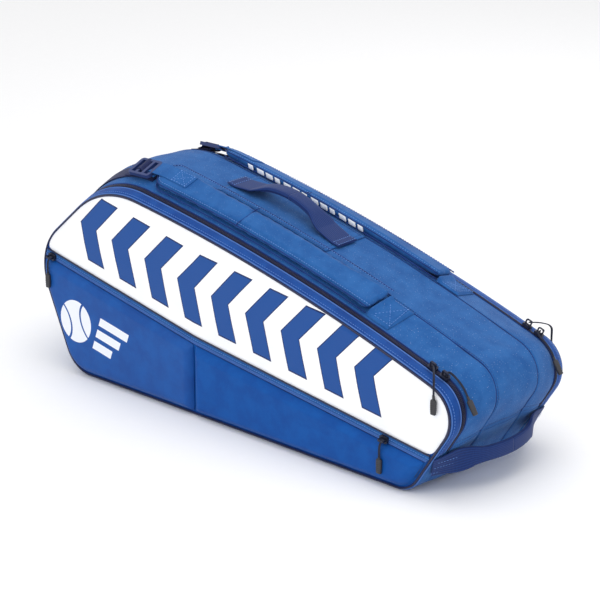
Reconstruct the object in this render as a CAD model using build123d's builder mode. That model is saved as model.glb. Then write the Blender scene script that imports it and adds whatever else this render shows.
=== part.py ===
"""Racket tournament bag: a soft two-compartment bag for tennis rackets, in millimetres.

The bag lies on its long base. +X runs from the head end (deep, where the racket heads go) to the
tip end (slim, where the grips go), +Y from the near side panel to the far one, +Z up. The origin is
the middle of the base. Each side panel is a flap that is hinged along its bottom seam and closed by
a zip round its other three sides. Near pieces are made first, and far ones are their mirror images.
"""

import math
import os

from build123d import *

# ---------------------------------------------------------------- driving dimensions
panel_plane = 112.5  # the side seams, each way from the middle
crown_plane = 43.0  # where the middle strip of the gusset starts, each way
zip_plane = 96.0  # the middle of the zip's teeth, each way
wall = 3.0  # padded fabric of the gusset
gap = 0.3  # clearance between pieces that move apart
corner_height = 62.0  # the zip stops here at both ends, above the sewn lower corners

board = 4.0  # foam board behind each side panel
skin = 1.5  # coated fabric on the board
piping = 4.0  # cord sewn round each side panel
piping_out = 6.0  # how far the piping reaches out past the side seam
tape = 4.0  # width of one half of the zip tape
rim_inner = zip_plane + tape  # where the flap's rim starts

base_head, base_tip = -275.0, 280.0  # ends of the flat base
base_stiffener = 2.0
divider = 4.0

pocket_depth = 10.7  # how far a pocket stands out from the board
pocket_wall = 1.5
pocket_edge = 7.0  # how far a pocket stays inside the panel's outline
pocket_slope = 42.0  # degrees that a pocket's sides lean in from straight out
pocket_gap = 4.0  # between the two pockets
band_height = 11.0  # blue strip between the white skin and each pocket zip
# The line that the white skin ends on, as (x, z), from the head end to the tip end.
pocket_line = [(-392.0, 182.5), (-68.0, 116.0), (402.0, 53.3)]

strap_inner, strap_outer = 43.8, 88.5  # a shoulder strap's long edges
strap_start, strap_end = -177.0, 209.0
strap_thickness = 14.0
patch_end = 246.0  # end of the X-stitched patch past the strap
tab_end = -122.0
webbing = 25.0
webbing_thickness = 1.5
webbing_end_height = 238.0  # the strap webbing is sewn down at this height on the head end

handle_width = 38.0
handle_thickness = 3.0
handle_span = 78.0  # half the distance between the grab handle's stitches
handle_half = 62.0  # half length of the part of it that swings
handle_rise = 26.0
patch_rise = 2.0  # the top of the patch under it, above the bag
end_handle_width = 36.0
end_handle_span = 98.0
end_handle_half = 60.0
end_handle_rise = 42.0
end_handle_height = 50.0
end_foot_height = 44.0

slider_length, slider_width, slider_thickness = 13.0, 9.6, 3.4
slider_lift = 2.2  # clearance under a main slider
bail_height = 3.1  # from a slider's top to the middle of its bail's hole
bail_half = 1.3  # half the bail's thickness
cord_radius = 1.3
tab_length, tab_width, tab_thickness = 20.0, 8.0, 3.6
first_slider, second_slider = 322.0, 341.0  # where the two main sliders meet, along X

# The side view's corners at the side seams, before they are rounded, as (x, z).
side_corners = {
    "head_heel": (-312.0, 0.0),
    "tip_heel": (306.0, 0.0),
    "tip": (392.0, 136.0),
    "crest": (60.0, 238.0),
    "shoulder": (-245.0, 293.0),
    "head": (-384.0, 168.0),
}
# How far each corner moves out towards the middle of the bag, which is fuller.
crown = {
    "head_heel": (-6.0, 0.0),
    "tip_heel": (6.0, 0.0),
    "tip": (12.0, 16.0),
    "crest": (0.0, 24.0),
    "shoulder": (-4.0, 30.0),
    "head": (-12.0, 4.0),
}
rounding = {"head_heel": 50.0, "tip_heel": 40.0, "tip": 45.0, "shoulder": 140.0, "head": 80.0}

reach = 500.0  # longer than the bag is from its middle, for blocks that cut


# ---------------------------------------------------------------- the bag's form
def corner(name, y):
    """Where a corner of the side view is at the station y across the bag, before rounding."""
    share = min(1.0, (panel_plane - abs(y)) / (panel_plane - crown_plane))
    return tuple(at + share * more for at, more in zip(side_corners[name], crown[name]))


def outline(y, grow=0.0):
    """The side view at the station y, grown outwards by grow, as a sketch on that plane."""
    with BuildSketch(Plane.XZ.offset(-y)) as view:
        with BuildLine():
            Polyline(*(corner(n, y) for n in ("tip", "tip_heel", "head_heel", "head", "shoulder")))
            ThreePointArc(corner("shoulder", y), corner("crest", y), corner("tip", y))
        make_face()
        for name, radius in rounding.items():
            nearest = view.vertices().sort_by_distance((*corner(name, y), 0))[0]
            fillet(nearest, radius)
        if grow:
            offset(amount=grow, mode=Mode.REPLACE)
    return view.sketch


def envelope(grow=0.0):
    """The bag's whole form between the side seams, grown outwards by grow in side view."""
    with BuildPart() as grown:
        for side in (-1, 1):
            sections = [outline(side * panel_plane, grow), outline(side * crown_plane, grow)]
            loft(sections=sections, ruled=True)
        extrude(outline(-crown_plane, grow), amount=2 * crown_plane, dir=(0, 1, 0))
    return grown.part


form = envelope()
shell = form - envelope(-wall)


def band(layer, section, start=-reach, end=reach):
    """The part of a layer inside a cross-section of (y, z) corners, between two stations along X."""
    with BuildPart() as piece:
        add(layer)
        with BuildSketch(Plane.YZ.offset(start)):
            with BuildLine():
                Polyline(*section, close=True)
            make_face()
        extrude(amount=end - start, mode=Mode.INTERSECT)
    return piece.part


def strip(inner, outer, low=-1.0, high=reach):
    """The cross-section of a near strip between two distances from the middle."""
    return [(-outer, low), (-inner, low), (-inner, high), (-outer, high)]


def layer_between(inside, outside):
    """A layer that lies on the bag, between two heights above it."""
    return envelope(outside) - envelope(inside)


def seat(start, towards):
    """The plane that touches the bag where a ray meets it: Z outwards, X along the zip to the tip."""
    ray = Axis(start, towards)
    hits = form.shell().find_intersection_points(ray)
    point, normal = min(hits, key=lambda hit: (hit[0] - Vector(start)).length)
    if normal.dot(ray.direction) > 0:
        normal = -normal
    return Plane(point, x_dir=Vector(0, 1, 0).cross(normal), z_dir=normal)


# ---------------------------------------------------------------- writing the pieces
os.makedirs("parts", exist_ok=True)


def save(name, piece):
    """Writes one piece as the node of that name."""
    piece.label = name
    export_step(piece, f"parts/{name}.step")


def save_pair(name, piece):
    """Writes a near piece and its mirror image on the far side."""
    save(f"near_{name}", piece)
    save(f"far_{name}", mirror(piece, about=Plane.XZ))


# ---------------------------------------------------------------- base and divider
root_edge = panel_plane - gap

with BuildPart() as base_panel:
    with BuildSketch():
        with Locations(((base_head + base_tip) / 2, 0)):
            Rectangle(base_tip - base_head, 2 * root_edge)
    extrude(amount=wall)
save("base_panel", base_panel.part)

with BuildPart() as base_board:
    with BuildSketch(Plane.XY.offset(wall)):
        with Locations(((base_head + base_tip) / 2, 0)):
            RectangleRounded(base_tip - base_head - 20, 2 * root_edge - 16, 12)
    extrude(amount=base_stiffener)
save("base_board", base_board.part)

with BuildPart() as centre_divider:
    with BuildSketch(Plane.XZ.offset(-divider / 2)):
        add(outline(-crown_plane, -wall - gap))
        with Locations((0, 0)):
            Rectangle(2 * reach, 2 * (wall + base_stiffener + gap), mode=Mode.SUBTRACT)
    extrude(amount=divider)
save("centre_divider", centre_divider.part)

# ---------------------------------------------------------------- gusset
with BuildPart() as wrap:
    add(shell)
    with Locations(((base_head + base_tip) / 2, 0, 0)):
        Box(base_tip - base_head, 2 * reach, 3 * wall, mode=Mode.SUBTRACT)
gusset_shell = wrap.part

centre_strip = [(-crown_plane, -1), (crown_plane, -1), (crown_plane, reach), (-crown_plane, reach)]
save("centre_gusset", band(gusset_shell, centre_strip))

tape_inner = zip_plane - tape
side_strip = [
    (-crown_plane, -1),
    (-crown_plane, reach),
    (-tape_inner, reach),
    (-tape_inner, corner_height),
    (-root_edge, corner_height),
    (-root_edge, -1),
]
save_pair("gusset", band(gusset_shell, side_strip))
save_pair("bag_tape", band(gusset_shell, strip(tape_inner, zip_plane, corner_height)))

# ---------------------------------------------------------------- side panel flap
above_corner = corner_height + gap
save_pair("flap_tape", band(gusset_shell, strip(zip_plane + gap, rim_inner, above_corner)))
save_pair("flap_rim", band(gusset_shell, strip(rim_inner, panel_plane, above_corner)))


def panel_sheet(inner, outer, grow, region=None, hole=None):
    """A flat near piece between two distances from the middle, kept to a region of the side view."""
    with BuildPart() as sheet:
        with BuildSketch(Plane.XZ.offset(inner)):
            add(outline(-panel_plane, grow))
            if hole is not None:
                add(outline(-panel_plane, hole), mode=Mode.SUBTRACT)
            if region:
                with BuildLine():
                    Polyline(*region, close=True)
                make_face(mode=Mode.INTERSECT)
        extrude(amount=outer - inner)
    return sheet.part


board_face = panel_plane + board
line_start, line_bend, line_end = pocket_line
above_line = [*pocket_line, (line_end[0], reach), (line_start[0], reach)]
band_low = [(x, z - band_height) for x, z in reversed(pocket_line)]

save_pair("panel_board", panel_sheet(panel_plane, board_face, -piping))
save_pair("piping", panel_sheet(panel_plane + 1, panel_plane + piping_out, 0, hole=-piping))
save_pair("panel_skin", panel_sheet(board_face, board_face + skin, -piping - gap, above_line))
save_pair(
    "pocket_band",
    panel_sheet(board_face, board_face + skin, -piping - gap, [*pocket_line, *band_low]),
)

# ---------------------------------------------------------------- pockets
pocket_drop = band_height + 1.0  # from the skin's edge down to a pocket's top edge


def pocket(corners):
    """A shallow tray with leaning sides and an open back, on a region of the side view."""
    back = Plane.XZ.offset(board_face + gap)
    with BuildSketch(back) as region:
        add(outline(-panel_plane, -pocket_edge))
        with BuildLine():
            Polyline(*corners, close=True)
        make_face(mode=Mode.INTERSECT)
        beside_gap = region.vertices().group_by(lambda at: round(abs(at.X - line_bend[0])))[0]
        fillet(beside_gap, 8)
    with BuildSketch(back) as hollow:
        add(region.sketch)
        offset(amount=-pocket_wall, mode=Mode.REPLACE)
    with BuildPart() as tray:
        extrude(region.sketch, amount=pocket_depth, taper=pocket_slope)
        depth = pocket_depth - pocket_wall
        extrude(hollow.sketch, amount=depth, taper=pocket_slope, mode=Mode.SUBTRACT)
    return tray.part


split_x = line_bend[0]
top_bend = line_bend[1] - pocket_drop
head_pocket = [
    (-reach, -reach),
    (split_x - pocket_gap / 2, -reach),
    (split_x - pocket_gap / 2, top_bend),
    (line_start[0], line_start[1] - pocket_drop),
]
grip_pocket = [
    (reach, -reach),
    (split_x + pocket_gap / 2, -reach),
    (split_x + pocket_gap / 2, top_bend),
    (line_end[0], line_end[1] - pocket_drop),
]
save_pair("head_pocket", pocket(head_pocket))
save_pair("grip_pocket", pocket(grip_pocket))


# ---------------------------------------------------------------- zip sliders and pulls
def slider(place, lift):
    """A zip slider on a plane, its length along X, with a bail whose hole runs along Y."""
    top = lift + slider_thickness
    with BuildPart(place.offset(lift)) as body:
        with BuildSketch(place.offset(lift)):
            RectangleRounded(slider_length, slider_width, 3)
        extrude(amount=slider_thickness)
        with BuildSketch(Plane(place.origin, x_dir=place.x_dir, z_dir=-place.y_dir)):
            with Locations((0, top + bail_height / 2 + 1.4)):
                RectangleRounded(9.4, bail_height + 4.8, 2)
            with Locations((0, top + bail_height)):
                RectangleRounded(6.8, 4.6, 1.9, mode=Mode.SUBTRACT)
            with Locations((0, 0)):
                Rectangle(20, 2 * top - 0.6, mode=Mode.SUBTRACT)
        extrude(amount=bail_half, both=True)
    return body.part


def bail_centre(place, lift):
    """The middle of the hole in the bail of a slider."""
    return place.origin + place.z_dir * (lift + slider_thickness + bail_height)


def pull(route, bend, face):
    """A cord along a route, and the moulded tab on its end, whose broad side is square to face."""
    with BuildPart() as piece:
        with BuildLine() as path:
            FilletPolyline(*route, radius=bend)
        with BuildSketch(Plane(route[0], z_dir=path.line % 0)):
            Circle(cord_radius)
        sweep()
        heading = (Vector(*route[-1]) - Vector(*route[-2])).normalized()
        with BuildSketch(Plane(route[-1], x_dir=heading.cross(Vector(*face)), z_dir=heading)):
            RectangleRounded(tab_width, tab_thickness, 1)
        extrude(amount=tab_length, taper=1.5)
    return piece.part


outwards = (0.0, -1.0, 0.0)
down = (0.0, 0.0, -1.0)

first_place = seat((first_slider, -zip_plane, reach), down)
second_place = seat((second_slider, -zip_plane, reach), down)
first_bail = bail_centre(first_place, slider_lift)
second_bail = bail_centre(second_place, slider_lift)
save_pair("first_slider", slider(first_place, slider_lift))
save_pair("second_slider", slider(second_place, slider_lift))

# The first pull drapes over the panel's edge towards the tip and hangs in front of it.
hang_plane = panel_plane + piping_out + 3.4
hang_x = first_bail.X + 20
over_edge = [
    tuple(first_bail),
    (hang_x, -hang_plane, first_bail.Z - 7),
    (hang_x, -hang_plane, first_bail.Z - 34),
]
save_pair("first_pull", pull(over_edge, 4.0, outwards))

# The second pull turns inwards and then follows the round tip, as (clearance, degrees up).
pull_plane = zip_plane - 7
tip_arc = (
    outline(-zip_plane)
    .edges()
    .filter_by(GeomType.CIRCLE)
    .sort_by_distance((side_corners["tip"][0], -zip_plane, side_corners["tip"][1]))[0]
)
tip_centre = tip_arc.arc_center
round_tip = [tuple(second_bail), (second_bail.X, -pull_plane, second_bail.Z)]
for clear, degrees in ((7.5, 46.0), (6.5, 24.0)):
    away = rounding["tip"] + clear
    angle = math.radians(degrees)
    round_tip.append(
        (
            tip_centre.X + away * math.cos(angle),
            -pull_plane,
            tip_centre.Z + away * math.sin(angle),
        )
    )
save_pair("second_pull", pull(round_tip, 2.6, (1.0, 0.0, -0.15)))


def pocket_slider(name, start, end, x):
    """A slider and its pull on a pocket zip that runs from one point of the side view to another."""
    slope = math.atan2(end[1] - start[1], end[0] - start[0])
    height = start[1] + (x - start[0]) * math.tan(slope) - pocket_drop + slider_width / 2
    place = Plane(
        (x, -board_face - skin, height),
        x_dir=(math.cos(slope), 0, math.sin(slope)),
        z_dir=outwards,
    )
    lift = 0.6
    bail = bail_centre(place, lift)
    front = board_face + pocket_depth + 2.4
    route = [
        tuple(bail),
        (x, -front, bail.Z - 9),
        (x, -front, bail.Z - 24),
    ]
    save_pair(f"{name}_slider", slider(place, lift))
    save_pair(f"{name}_pull", pull(route, 5.0, outwards))
    return bail, slope


head_bail, head_slope = pocket_slider("head_pocket", line_start, line_bend, -345.0)
grip_bail, grip_slope = pocket_slider("grip_pocket", line_bend, line_end, 266.0)

# ---------------------------------------------------------------- shoulder straps
quilt = layer_between(0.4, 0.4 + strap_thickness)
middle = (strap_inner + strap_outer) / 2
tape_strip = strip(middle - webbing / 2, middle + webbing / 2, 100.0)
strap_top = 0.4 + strap_thickness
save_pair("strap", band(quilt, strip(strap_inner, strap_outer, 100.0), strap_start, strap_end))
save_pair(
    "strap_patch",
    band(layer_between(0.4, 5.4), strip(strap_inner, strap_outer, 100.0), strap_end, patch_end),
)
save_pair(
    "strap_tab",
    band(layer_between(strap_top, strap_top + 1.6), tape_strip, strap_start - 6, tab_end),
)
low_webbing = strip(middle - webbing / 2, middle + webbing / 2, webbing_end_height)
webbing_layer = layer_between(0.4, 0.4 + webbing_thickness)
save_pair("strap_webbing", band(webbing_layer, low_webbing, -reach, strap_start - 6))

buckle_length, buckle_width, buckle_thickness = 40.0, 34.0, 5.0
buckle_pivot_x = strap_start - 6
buckle_seat = seat((buckle_pivot_x - buckle_length / 2, -middle, reach), down).offset(7.0)
with BuildPart() as buckle:
    with BuildSketch(buckle_seat):
        RectangleRounded(buckle_length, buckle_width, 5)
        with GridLocations(11.5, 1, 3, 1):
            Rectangle(7, webbing + 1, mode=Mode.SUBTRACT)
    extrude(amount=buckle_thickness)
save_pair("buckle", buckle.part)
buckle_pivot = buckle_seat.from_local_coords((buckle_length / 2 - 2.5, 0, buckle_thickness / 2))

# ---------------------------------------------------------------- handles
def arch_height(rise, half, at):
    """How high an arc that spans half each way is, at a distance from its middle."""
    radius = (half**2 + rise**2) / (2 * rise)
    return math.sqrt(radius**2 - at**2) - radius + rise


def arch(plane, width, half, rise, moving):
    """The part of a webbing loop that swings: X of the plane along it, Y the way it stands out."""
    low = arch_height(rise, half, moving)
    with BuildPart() as piece:
        with BuildSketch(plane.offset(-width / 2)):
            with BuildLine():
                upper = ThreePointArc((-moving, low), (0, rise), (moving, low))
                lower = ThreePointArc(
                    (-moving, low - handle_thickness),
                    (0, rise - handle_thickness),
                    (moving, low - handle_thickness),
                )
                Line(upper @ 0, lower @ 0)
                Line(upper @ 1, lower @ 1)
            make_face()
        extrude(amount=width)
    return piece.part


def foot(arch_end, sewn_end, width):
    """The stretch of webbing from the end of an arch to where it is sewn down."""
    with BuildPart() as piece:
        for end in (arch_end, sewn_end):
            with BuildSketch(end):
                Rectangle(handle_thickness, width)
        loft(ruled=True)
    return piece.part


handle_ends = [seat((x, 0, reach), down).origin for x in (-handle_span, handle_span)]
handle_plane = Plane(
    (handle_ends[0] + handle_ends[1]) / 2, x_dir=handle_ends[1] - handle_ends[0], z_dir=outwards
)
handle_top = handle_rise + patch_rise
save("top_handle", arch(handle_plane, handle_width, handle_span, handle_top, handle_half))
handle_low = arch_height(handle_top, handle_span, handle_half) - handle_thickness / 2
sewn_low = patch_rise + handle_thickness / 2
top_feet = []
for side in (-1, 1):
    stations = [(side * (handle_half + gap), handle_low), (side * (handle_span + 12), sewn_low)]
    ends = [
        Plane(
            handle_plane.from_local_coords((*station, 0)),
            x_dir=handle_plane.y_dir,
            z_dir=handle_plane.x_dir,
        )
        for station in stations
    ]
    top_feet.append(foot(*ends, handle_width))
save("top_handle_feet", Compound(children=top_feet))
patch_strip = [(-40, 100), (40, 100), (40, reach), (-40, reach)]
save("handle_patch", band(layer_between(0.3, patch_rise - 0.1), patch_strip, -94, 94))

# The end handle runs across the tip end, from one lower corner to the other.
sewn_seat = seat((reach, -end_handle_span, end_foot_height), (-1, 0, 0))
end_plane = Plane(
    (sewn_seat.origin.X, 0, end_handle_height), x_dir=(0, -1, 0), z_dir=(0, 0, 1)
)
save(
    "end_handle",
    arch(end_plane, end_handle_width, end_handle_span, end_handle_rise, end_handle_half),
)
end_low = arch_height(end_handle_rise, end_handle_span, end_handle_half) - handle_thickness / 2
end_arch_point = end_plane.from_local_coords((end_handle_half + gap, end_low, 0))
slant = Vector(0, -1, 0).cross(-sewn_seat.x_dir)  # straight out from the tip end's slope
end_sewn_point = sewn_seat.from_local_coords((0, 0, 0.8 + handle_thickness / 2))
near_end_foot = foot(
    Plane(end_arch_point, x_dir=(1, 0, 0), z_dir=outwards),
    Plane((end_sewn_point.X, -end_handle_span - 11, end_sewn_point.Z), x_dir=slant, z_dir=outwards),
    end_handle_width,
)
save("end_handle_feet", Compound(children=[near_end_foot, mirror(near_end_foot, about=Plane.XZ)]))

# ---------------------------------------------------------------- where the joints turn
crest_arc = (
    outline(-zip_plane)
    .edges()
    .filter_by(GeomType.CIRCLE)
    .sort_by(SortBy.RADIUS)[-1]
)
for what, value in {
    "first bail": first_bail,
    "crest centre": crest_arc.arc_center,
    "crest radius": crest_arc.radius,
    "second bail": second_bail,
    "tip centre": tip_centre,
    "head pocket bail": head_bail,
    "head pocket slope": head_slope,
    "grip pocket bail": grip_bail,
    "grip pocket slope": grip_slope,
    "buckle pivot": buckle_pivot,
    "buckle axis": buckle_seat.y_dir,
    "handle pivot": handle_plane.from_local_coords((0, handle_low, 0)),
    "handle axis": handle_plane.x_dir,
    "end handle pivot": end_plane.from_local_coords((0, end_low, 0)),
}.items():
    print(what, value)
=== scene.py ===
# %% [markdown]
# # A racket tournament bag
# The bag is soft goods on a known frame. The frame gives every joint and the place of every part, and
# the cells below dress it: fabric shells, padded straps, zips, webbing, moulded pulls and stitches.
# Nearly every soft surface here is one idea, a grid of points laid on the bag's form with a height
# above it, so the form comes first and each piece only says where it lies and how high it stands.

# %% Load the frame
import math

import bmesh
import bpy
import numpy as np
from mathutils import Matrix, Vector


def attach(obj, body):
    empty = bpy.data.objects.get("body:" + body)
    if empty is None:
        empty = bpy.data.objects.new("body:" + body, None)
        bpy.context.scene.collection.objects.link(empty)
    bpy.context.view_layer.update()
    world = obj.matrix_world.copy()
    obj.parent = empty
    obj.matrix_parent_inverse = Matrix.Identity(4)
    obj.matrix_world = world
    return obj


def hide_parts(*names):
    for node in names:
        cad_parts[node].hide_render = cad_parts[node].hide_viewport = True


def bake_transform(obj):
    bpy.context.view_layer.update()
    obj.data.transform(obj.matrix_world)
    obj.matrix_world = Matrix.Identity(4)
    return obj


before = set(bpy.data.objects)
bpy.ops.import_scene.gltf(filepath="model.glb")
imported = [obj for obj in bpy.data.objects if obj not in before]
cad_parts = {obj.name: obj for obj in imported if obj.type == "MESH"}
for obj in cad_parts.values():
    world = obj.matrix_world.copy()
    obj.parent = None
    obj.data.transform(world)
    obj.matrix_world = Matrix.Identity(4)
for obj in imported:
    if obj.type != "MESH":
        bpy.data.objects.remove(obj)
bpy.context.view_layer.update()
MM = 0.001

# %% [markdown]
# ## Camera, floor and light
# A soft product set: a pale floor, a bright sky all round, one large light over the bag and one on the
# side towards the camera. A long lens from three metres keeps the far end from shrinking.

# %% The set
AZIMUTH, ELEVATION, DISTANCE = math.radians(41.9), math.radians(20.2), 3.0
AIM = Vector((0.0286, -0.0134, 0.1628))


def towards_camera(azimuth, elevation):
    """The direction from the bag to a camera at that azimuth and elevation."""
    flat = math.cos(elevation)
    return Vector((math.sin(azimuth) * flat, -math.cos(azimuth) * flat, math.sin(elevation)))


lens = bpy.data.cameras.new("camera")
lens.lens, lens.sensor_width = 134.4, 36.0
camera = bpy.data.objects.new("camera", lens)
bpy.context.scene.collection.objects.link(camera)
back = towards_camera(AZIMUTH, ELEVATION)
camera.location = AIM + back * DISTANCE
camera.rotation_euler = back.to_track_quat("Z", "Y").to_euler()
bpy.context.scene.camera = camera


def area_light(name, azimuth, elevation, distance, size, power):
    """A square soft light that looks at the bag."""
    data = bpy.data.lights.new(name, "AREA")
    data.size, data.energy = size, power
    light = bpy.data.objects.new(name, data)
    away = towards_camera(math.radians(azimuth), math.radians(elevation))
    light.location = AIM + away * distance
    light.rotation_euler = away.to_track_quat("Z", "Y").to_euler()
    bpy.context.scene.collection.objects.link(light)


area_light("over", 60, 72, 1.8, 1.6, 11)
area_light("front", 8, 28, 2.2, 1.4, 6)
area_light("back_rim", 200, 35, 2.2, 1.2, 4)

world = bpy.data.worlds.new("sky")
world.use_nodes = True
world.node_tree.nodes["Background"].inputs["Color"].default_value = (1, 1, 1, 1)
world.node_tree.nodes["Background"].inputs["Strength"].default_value = 0.9
bpy.context.scene.world = world
bpy.context.scene.view_settings.view_transform = "Standard"

# %% [markdown]
# ## Shader maths as plain expressions
# A finish is a small sum: a colour, a weave and some wear. Wiring that by hand is slow to read, so one
# class wraps a socket and lets the usual operators add the Math nodes, and one method adds any other.


# %% A socket that can be added and multiplied
class Value:
    """A socket in a material, with operators that add Math nodes."""

    def __init__(self, finish, socket):
        self.finish, self.socket = finish, socket

    def maths(self, operation, *others):
        return self.finish.node("ShaderNodeMath", {"operation": operation}, [self, *others])

    def __add__(self, other):
        return self.maths("ADD", other)

    def __sub__(self, other):
        return self.maths("SUBTRACT", other)

    def __rsub__(self, other):
        return self.finish.node("ShaderNodeMath", {"operation": "SUBTRACT"}, [other, self])

    def __mul__(self, other):
        return self.maths("MULTIPLY", other)

    def __truediv__(self, other):
        return self.maths("DIVIDE", other)

    def __gt__(self, other):
        return self.maths("GREATER_THAN", other)

    def __lt__(self, other):
        return self.maths("LESS_THAN", other)

    __radd__, __rmul__ = __add__, __mul__

    def sin(self):
        return self.maths("SINE")

    def abs(self):
        return self.maths("ABSOLUTE")

    def floor(self):
        return self.maths("FLOOR")

    def most(self, other):
        return self.maths("MAXIMUM", other)

    def least(self, other):
        return self.maths("MINIMUM", other)

    def root(self):
        return self.maths("SQRT")

    def ramp(self, low, high):
        """0 below low and 1 above high, with a smooth step between."""
        settings = {"interpolation_type": "SMOOTHSTEP"}
        return self.finish.node("ShaderNodeMapRange", settings, [self, low, high, 0.0, 1.0])


class Finish:
    """A material under construction."""

    def __init__(self, name, **sockets):
        self.material = bpy.data.materials.new(name)
        self.material.use_nodes = True
        self.tree = self.material.node_tree
        self.tree.nodes.clear()
        self.shader = self.tree.nodes.new("ShaderNodeBsdfPrincipled")
        output = self.tree.nodes.new("ShaderNodeOutputMaterial")
        self.tree.links.new(self.shader.outputs[0], output.inputs[0])
        self.set(**sockets)

    def set(self, **sockets):
        """Sets or links the shader's own sockets, with _ for a space in their names."""
        for name, value in sockets.items():
            self.plug(self.shader.inputs[name.replace("_", " ")], value)

    def plug(self, socket, value):
        if isinstance(value, Value):
            self.tree.links.new(value.socket, socket)
        elif isinstance(value, tuple) and len(value) == 3 and socket.type == "RGBA":
            socket.default_value = (*value, 1.0)
        else:
            socket.default_value = value

    def node(self, kind, settings=None, sockets=(), out=0):
        """Adds a node, with its settings first and then the values or links of its sockets."""
        made = self.tree.nodes.new(kind)
        for name, value in (settings or {}).items():
            setattr(made, name, value)
        pairs = sockets.items() if isinstance(sockets, dict) else enumerate(sockets)
        for key, value in pairs:
            self.plug(made.inputs[key], value)
        return Value(self, made.outputs[out])

    def place(self, space="Object"):
        """The x, y and z of a point, in metres."""
        where = self.node("ShaderNodeTexCoord", out=space)
        split = self.tree.nodes.new("ShaderNodeSeparateXYZ")
        self.tree.links.new(where.socket, split.inputs[0])
        return where, [Value(self, split.outputs[i]) for i in range(3)]

    def noise(self, where, scale, detail=3.0, roughness=0.5):
        values = {"Vector": where, "Scale": scale, "Detail": detail, "Roughness": roughness}
        return self.node("ShaderNodeTexNoise", {}, values)

    def mix(self, share, first, second):
        """A colour between two colours."""
        return self.node(
            "ShaderNodeMix", {"data_type": "RGBA"}, {0: share, 6: first, 7: second}, out=2
        )

    def bump(self, height, strength, distance):
        values = {"Strength": strength, "Distance": distance, "Height": height}
        self.set(Normal=self.node("ShaderNodeBump", {}, values))


def linear(red, green, blue):
    """A colour as a paint shop names it, from 0 to 255, turned into light."""
    scaled = [c / 255 for c in (red, green, blue)]
    return tuple(c / 12.92 if c <= 0.04045 else ((c + 0.055) / 1.055) ** 2.4 for c in scaled)


# %% [markdown]
# ## The finishes
# The bag is polyester: a plain weave for the gusset and straps, a tighter coated weave for the pockets,
# smooth coated white for the panels, ribbed webbing and knitted zip tape. Thread size is real, about a
# millimetre, and slow noise stands for uneven dye and handling.


# %% Woven fabrics
def woven(name, space, colour, deep, thread, roughness, specks=0.0, sheen=0.08, weave=0.3):
    """A plain weave, darker between its threads, mottled a little, with a few pale fibres."""
    finish = Finish(name, Roughness=roughness, Sheen_Weight=sheen, Sheen_Roughness=0.4)
    finish.set(Specular_IOR_Level=0.18)
    where, (x, y, z) = finish.place(space)
    turns = 2 * math.pi / thread
    over = (x * turns).sin() * ((y if space == "UV" else y + z) * turns).sin()
    mottle = finish.noise(where, 38.0, 4.0, 0.6)
    fine = finish.noise(where, 900.0, 2.0, 0.6)
    shade = (mottle.ramp(0.3, 0.7) * 0.55 + fine * 0.3 + over * 0.12).least(1.0).most(0.0)
    tone = finish.mix(shade, deep, colour)
    if specks:
        fleck = finish.noise(where, 620.0, 0.0).ramp(0.74, 0.8) * specks
        tone = finish.mix(fleck, tone, linear(190, 210, 235))
    finish.set(Base_Color=tone)
    finish.bump(over * 0.5 + fine, weave, 0.0005)
    return finish


GUSSET_BLUE, GUSSET_DEEP = linear(46, 104, 170), linear(26, 80, 145)
POCKET_BLUE, POCKET_DEEP = linear(6, 86, 166), linear(2, 66, 142)
PRINT_BLUE = linear(8, 72, 146)
PRINT_EDGE = linear(4, 32, 88)
gusset_fabric = woven(
    "gusset_weave", "UV", GUSSET_BLUE, GUSSET_DEEP, 0.0011, 0.78, specks=0.3
).material
strap_fabric = woven(
    "strap_weave", "Object", GUSSET_BLUE, GUSSET_DEEP, 0.0011, 0.8, specks=0.1
).material
pocket_fabric = woven(
    "pocket_weave", "Object", POCKET_BLUE, POCKET_DEEP, 0.0008, 0.62, sheen=0.04, weave=0.15
).material
lining = woven(
    "lining_weave", "Object", linear(58, 72, 104), linear(42, 54, 82), 0.0012, 0.85
).material
rim_fabric = woven(
    "rim_weave", "UV", linear(30, 84, 160), linear(14, 58, 130), 0.0011, 0.7
).material
edging = woven(
    "edge_binding", "Object", linear(24, 66, 140), linear(8, 34, 92), 0.0009, 0.55
).material


# %% Webbing, tape, piping, thread and moulded parts
def ribbed(name, colour, deep, rib, roughness=0.7):
    """Narrow woven goods: fine ribs along the length and a cross thread over them."""
    finish = Finish(name, Roughness=roughness, Sheen_Weight=0.08, Specular_IOR_Level=0.25)
    where, (u, v, _) = finish.place("UV")
    along = (v * (2 * math.pi / rib)).sin()
    cross = (u * (2 * math.pi / (rib * 0.7))).sin()
    fuzz = finish.noise(where, 1200.0, 2.0)
    shade = (along * 0.3 + cross * 0.2 + fuzz * 0.5 + 0.2).least(1.0).most(0.0)
    finish.set(Base_Color=finish.mix(shade, deep, colour))
    finish.bump(along * 0.6 + cross * 0.4, 0.4, 0.0005)
    return finish.material


webbing_cloth = ribbed("webbing_rib", linear(20, 38, 92), linear(8, 16, 56), 0.0022)
handle_cloth = ribbed("handle_rib", linear(20, 58, 124), linear(6, 30, 84), 0.0026)
tape_cloth = ribbed("zip_tape_knit", linear(20, 34, 84), linear(8, 16, 52), 0.0012)


def plain(name, colour, roughness, metallic=0.0, coat=0.0, grain=700.0, depth=0.12):
    """A moulded, cast or spun finish: one colour, a fine grain and slight wear in its gloss."""
    finish = Finish(name, Metallic=metallic, Coat_Weight=coat)
    where, _ = finish.place("Object")
    fine = finish.noise(where, grain, 3.0)
    wear = finish.noise(where, 60.0, 4.0, 0.6)
    worn = tuple(min(1.0, c * 1.5 + 0.01) for c in colour)
    finish.set(
        Base_Color=finish.mix(wear.ramp(0.5, 0.8) * 0.35, colour, worn),
        Roughness=wear * 0.2 + (roughness - 0.1),
    )
    finish.bump(fine, depth, 0.0003)
    return finish.material


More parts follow.
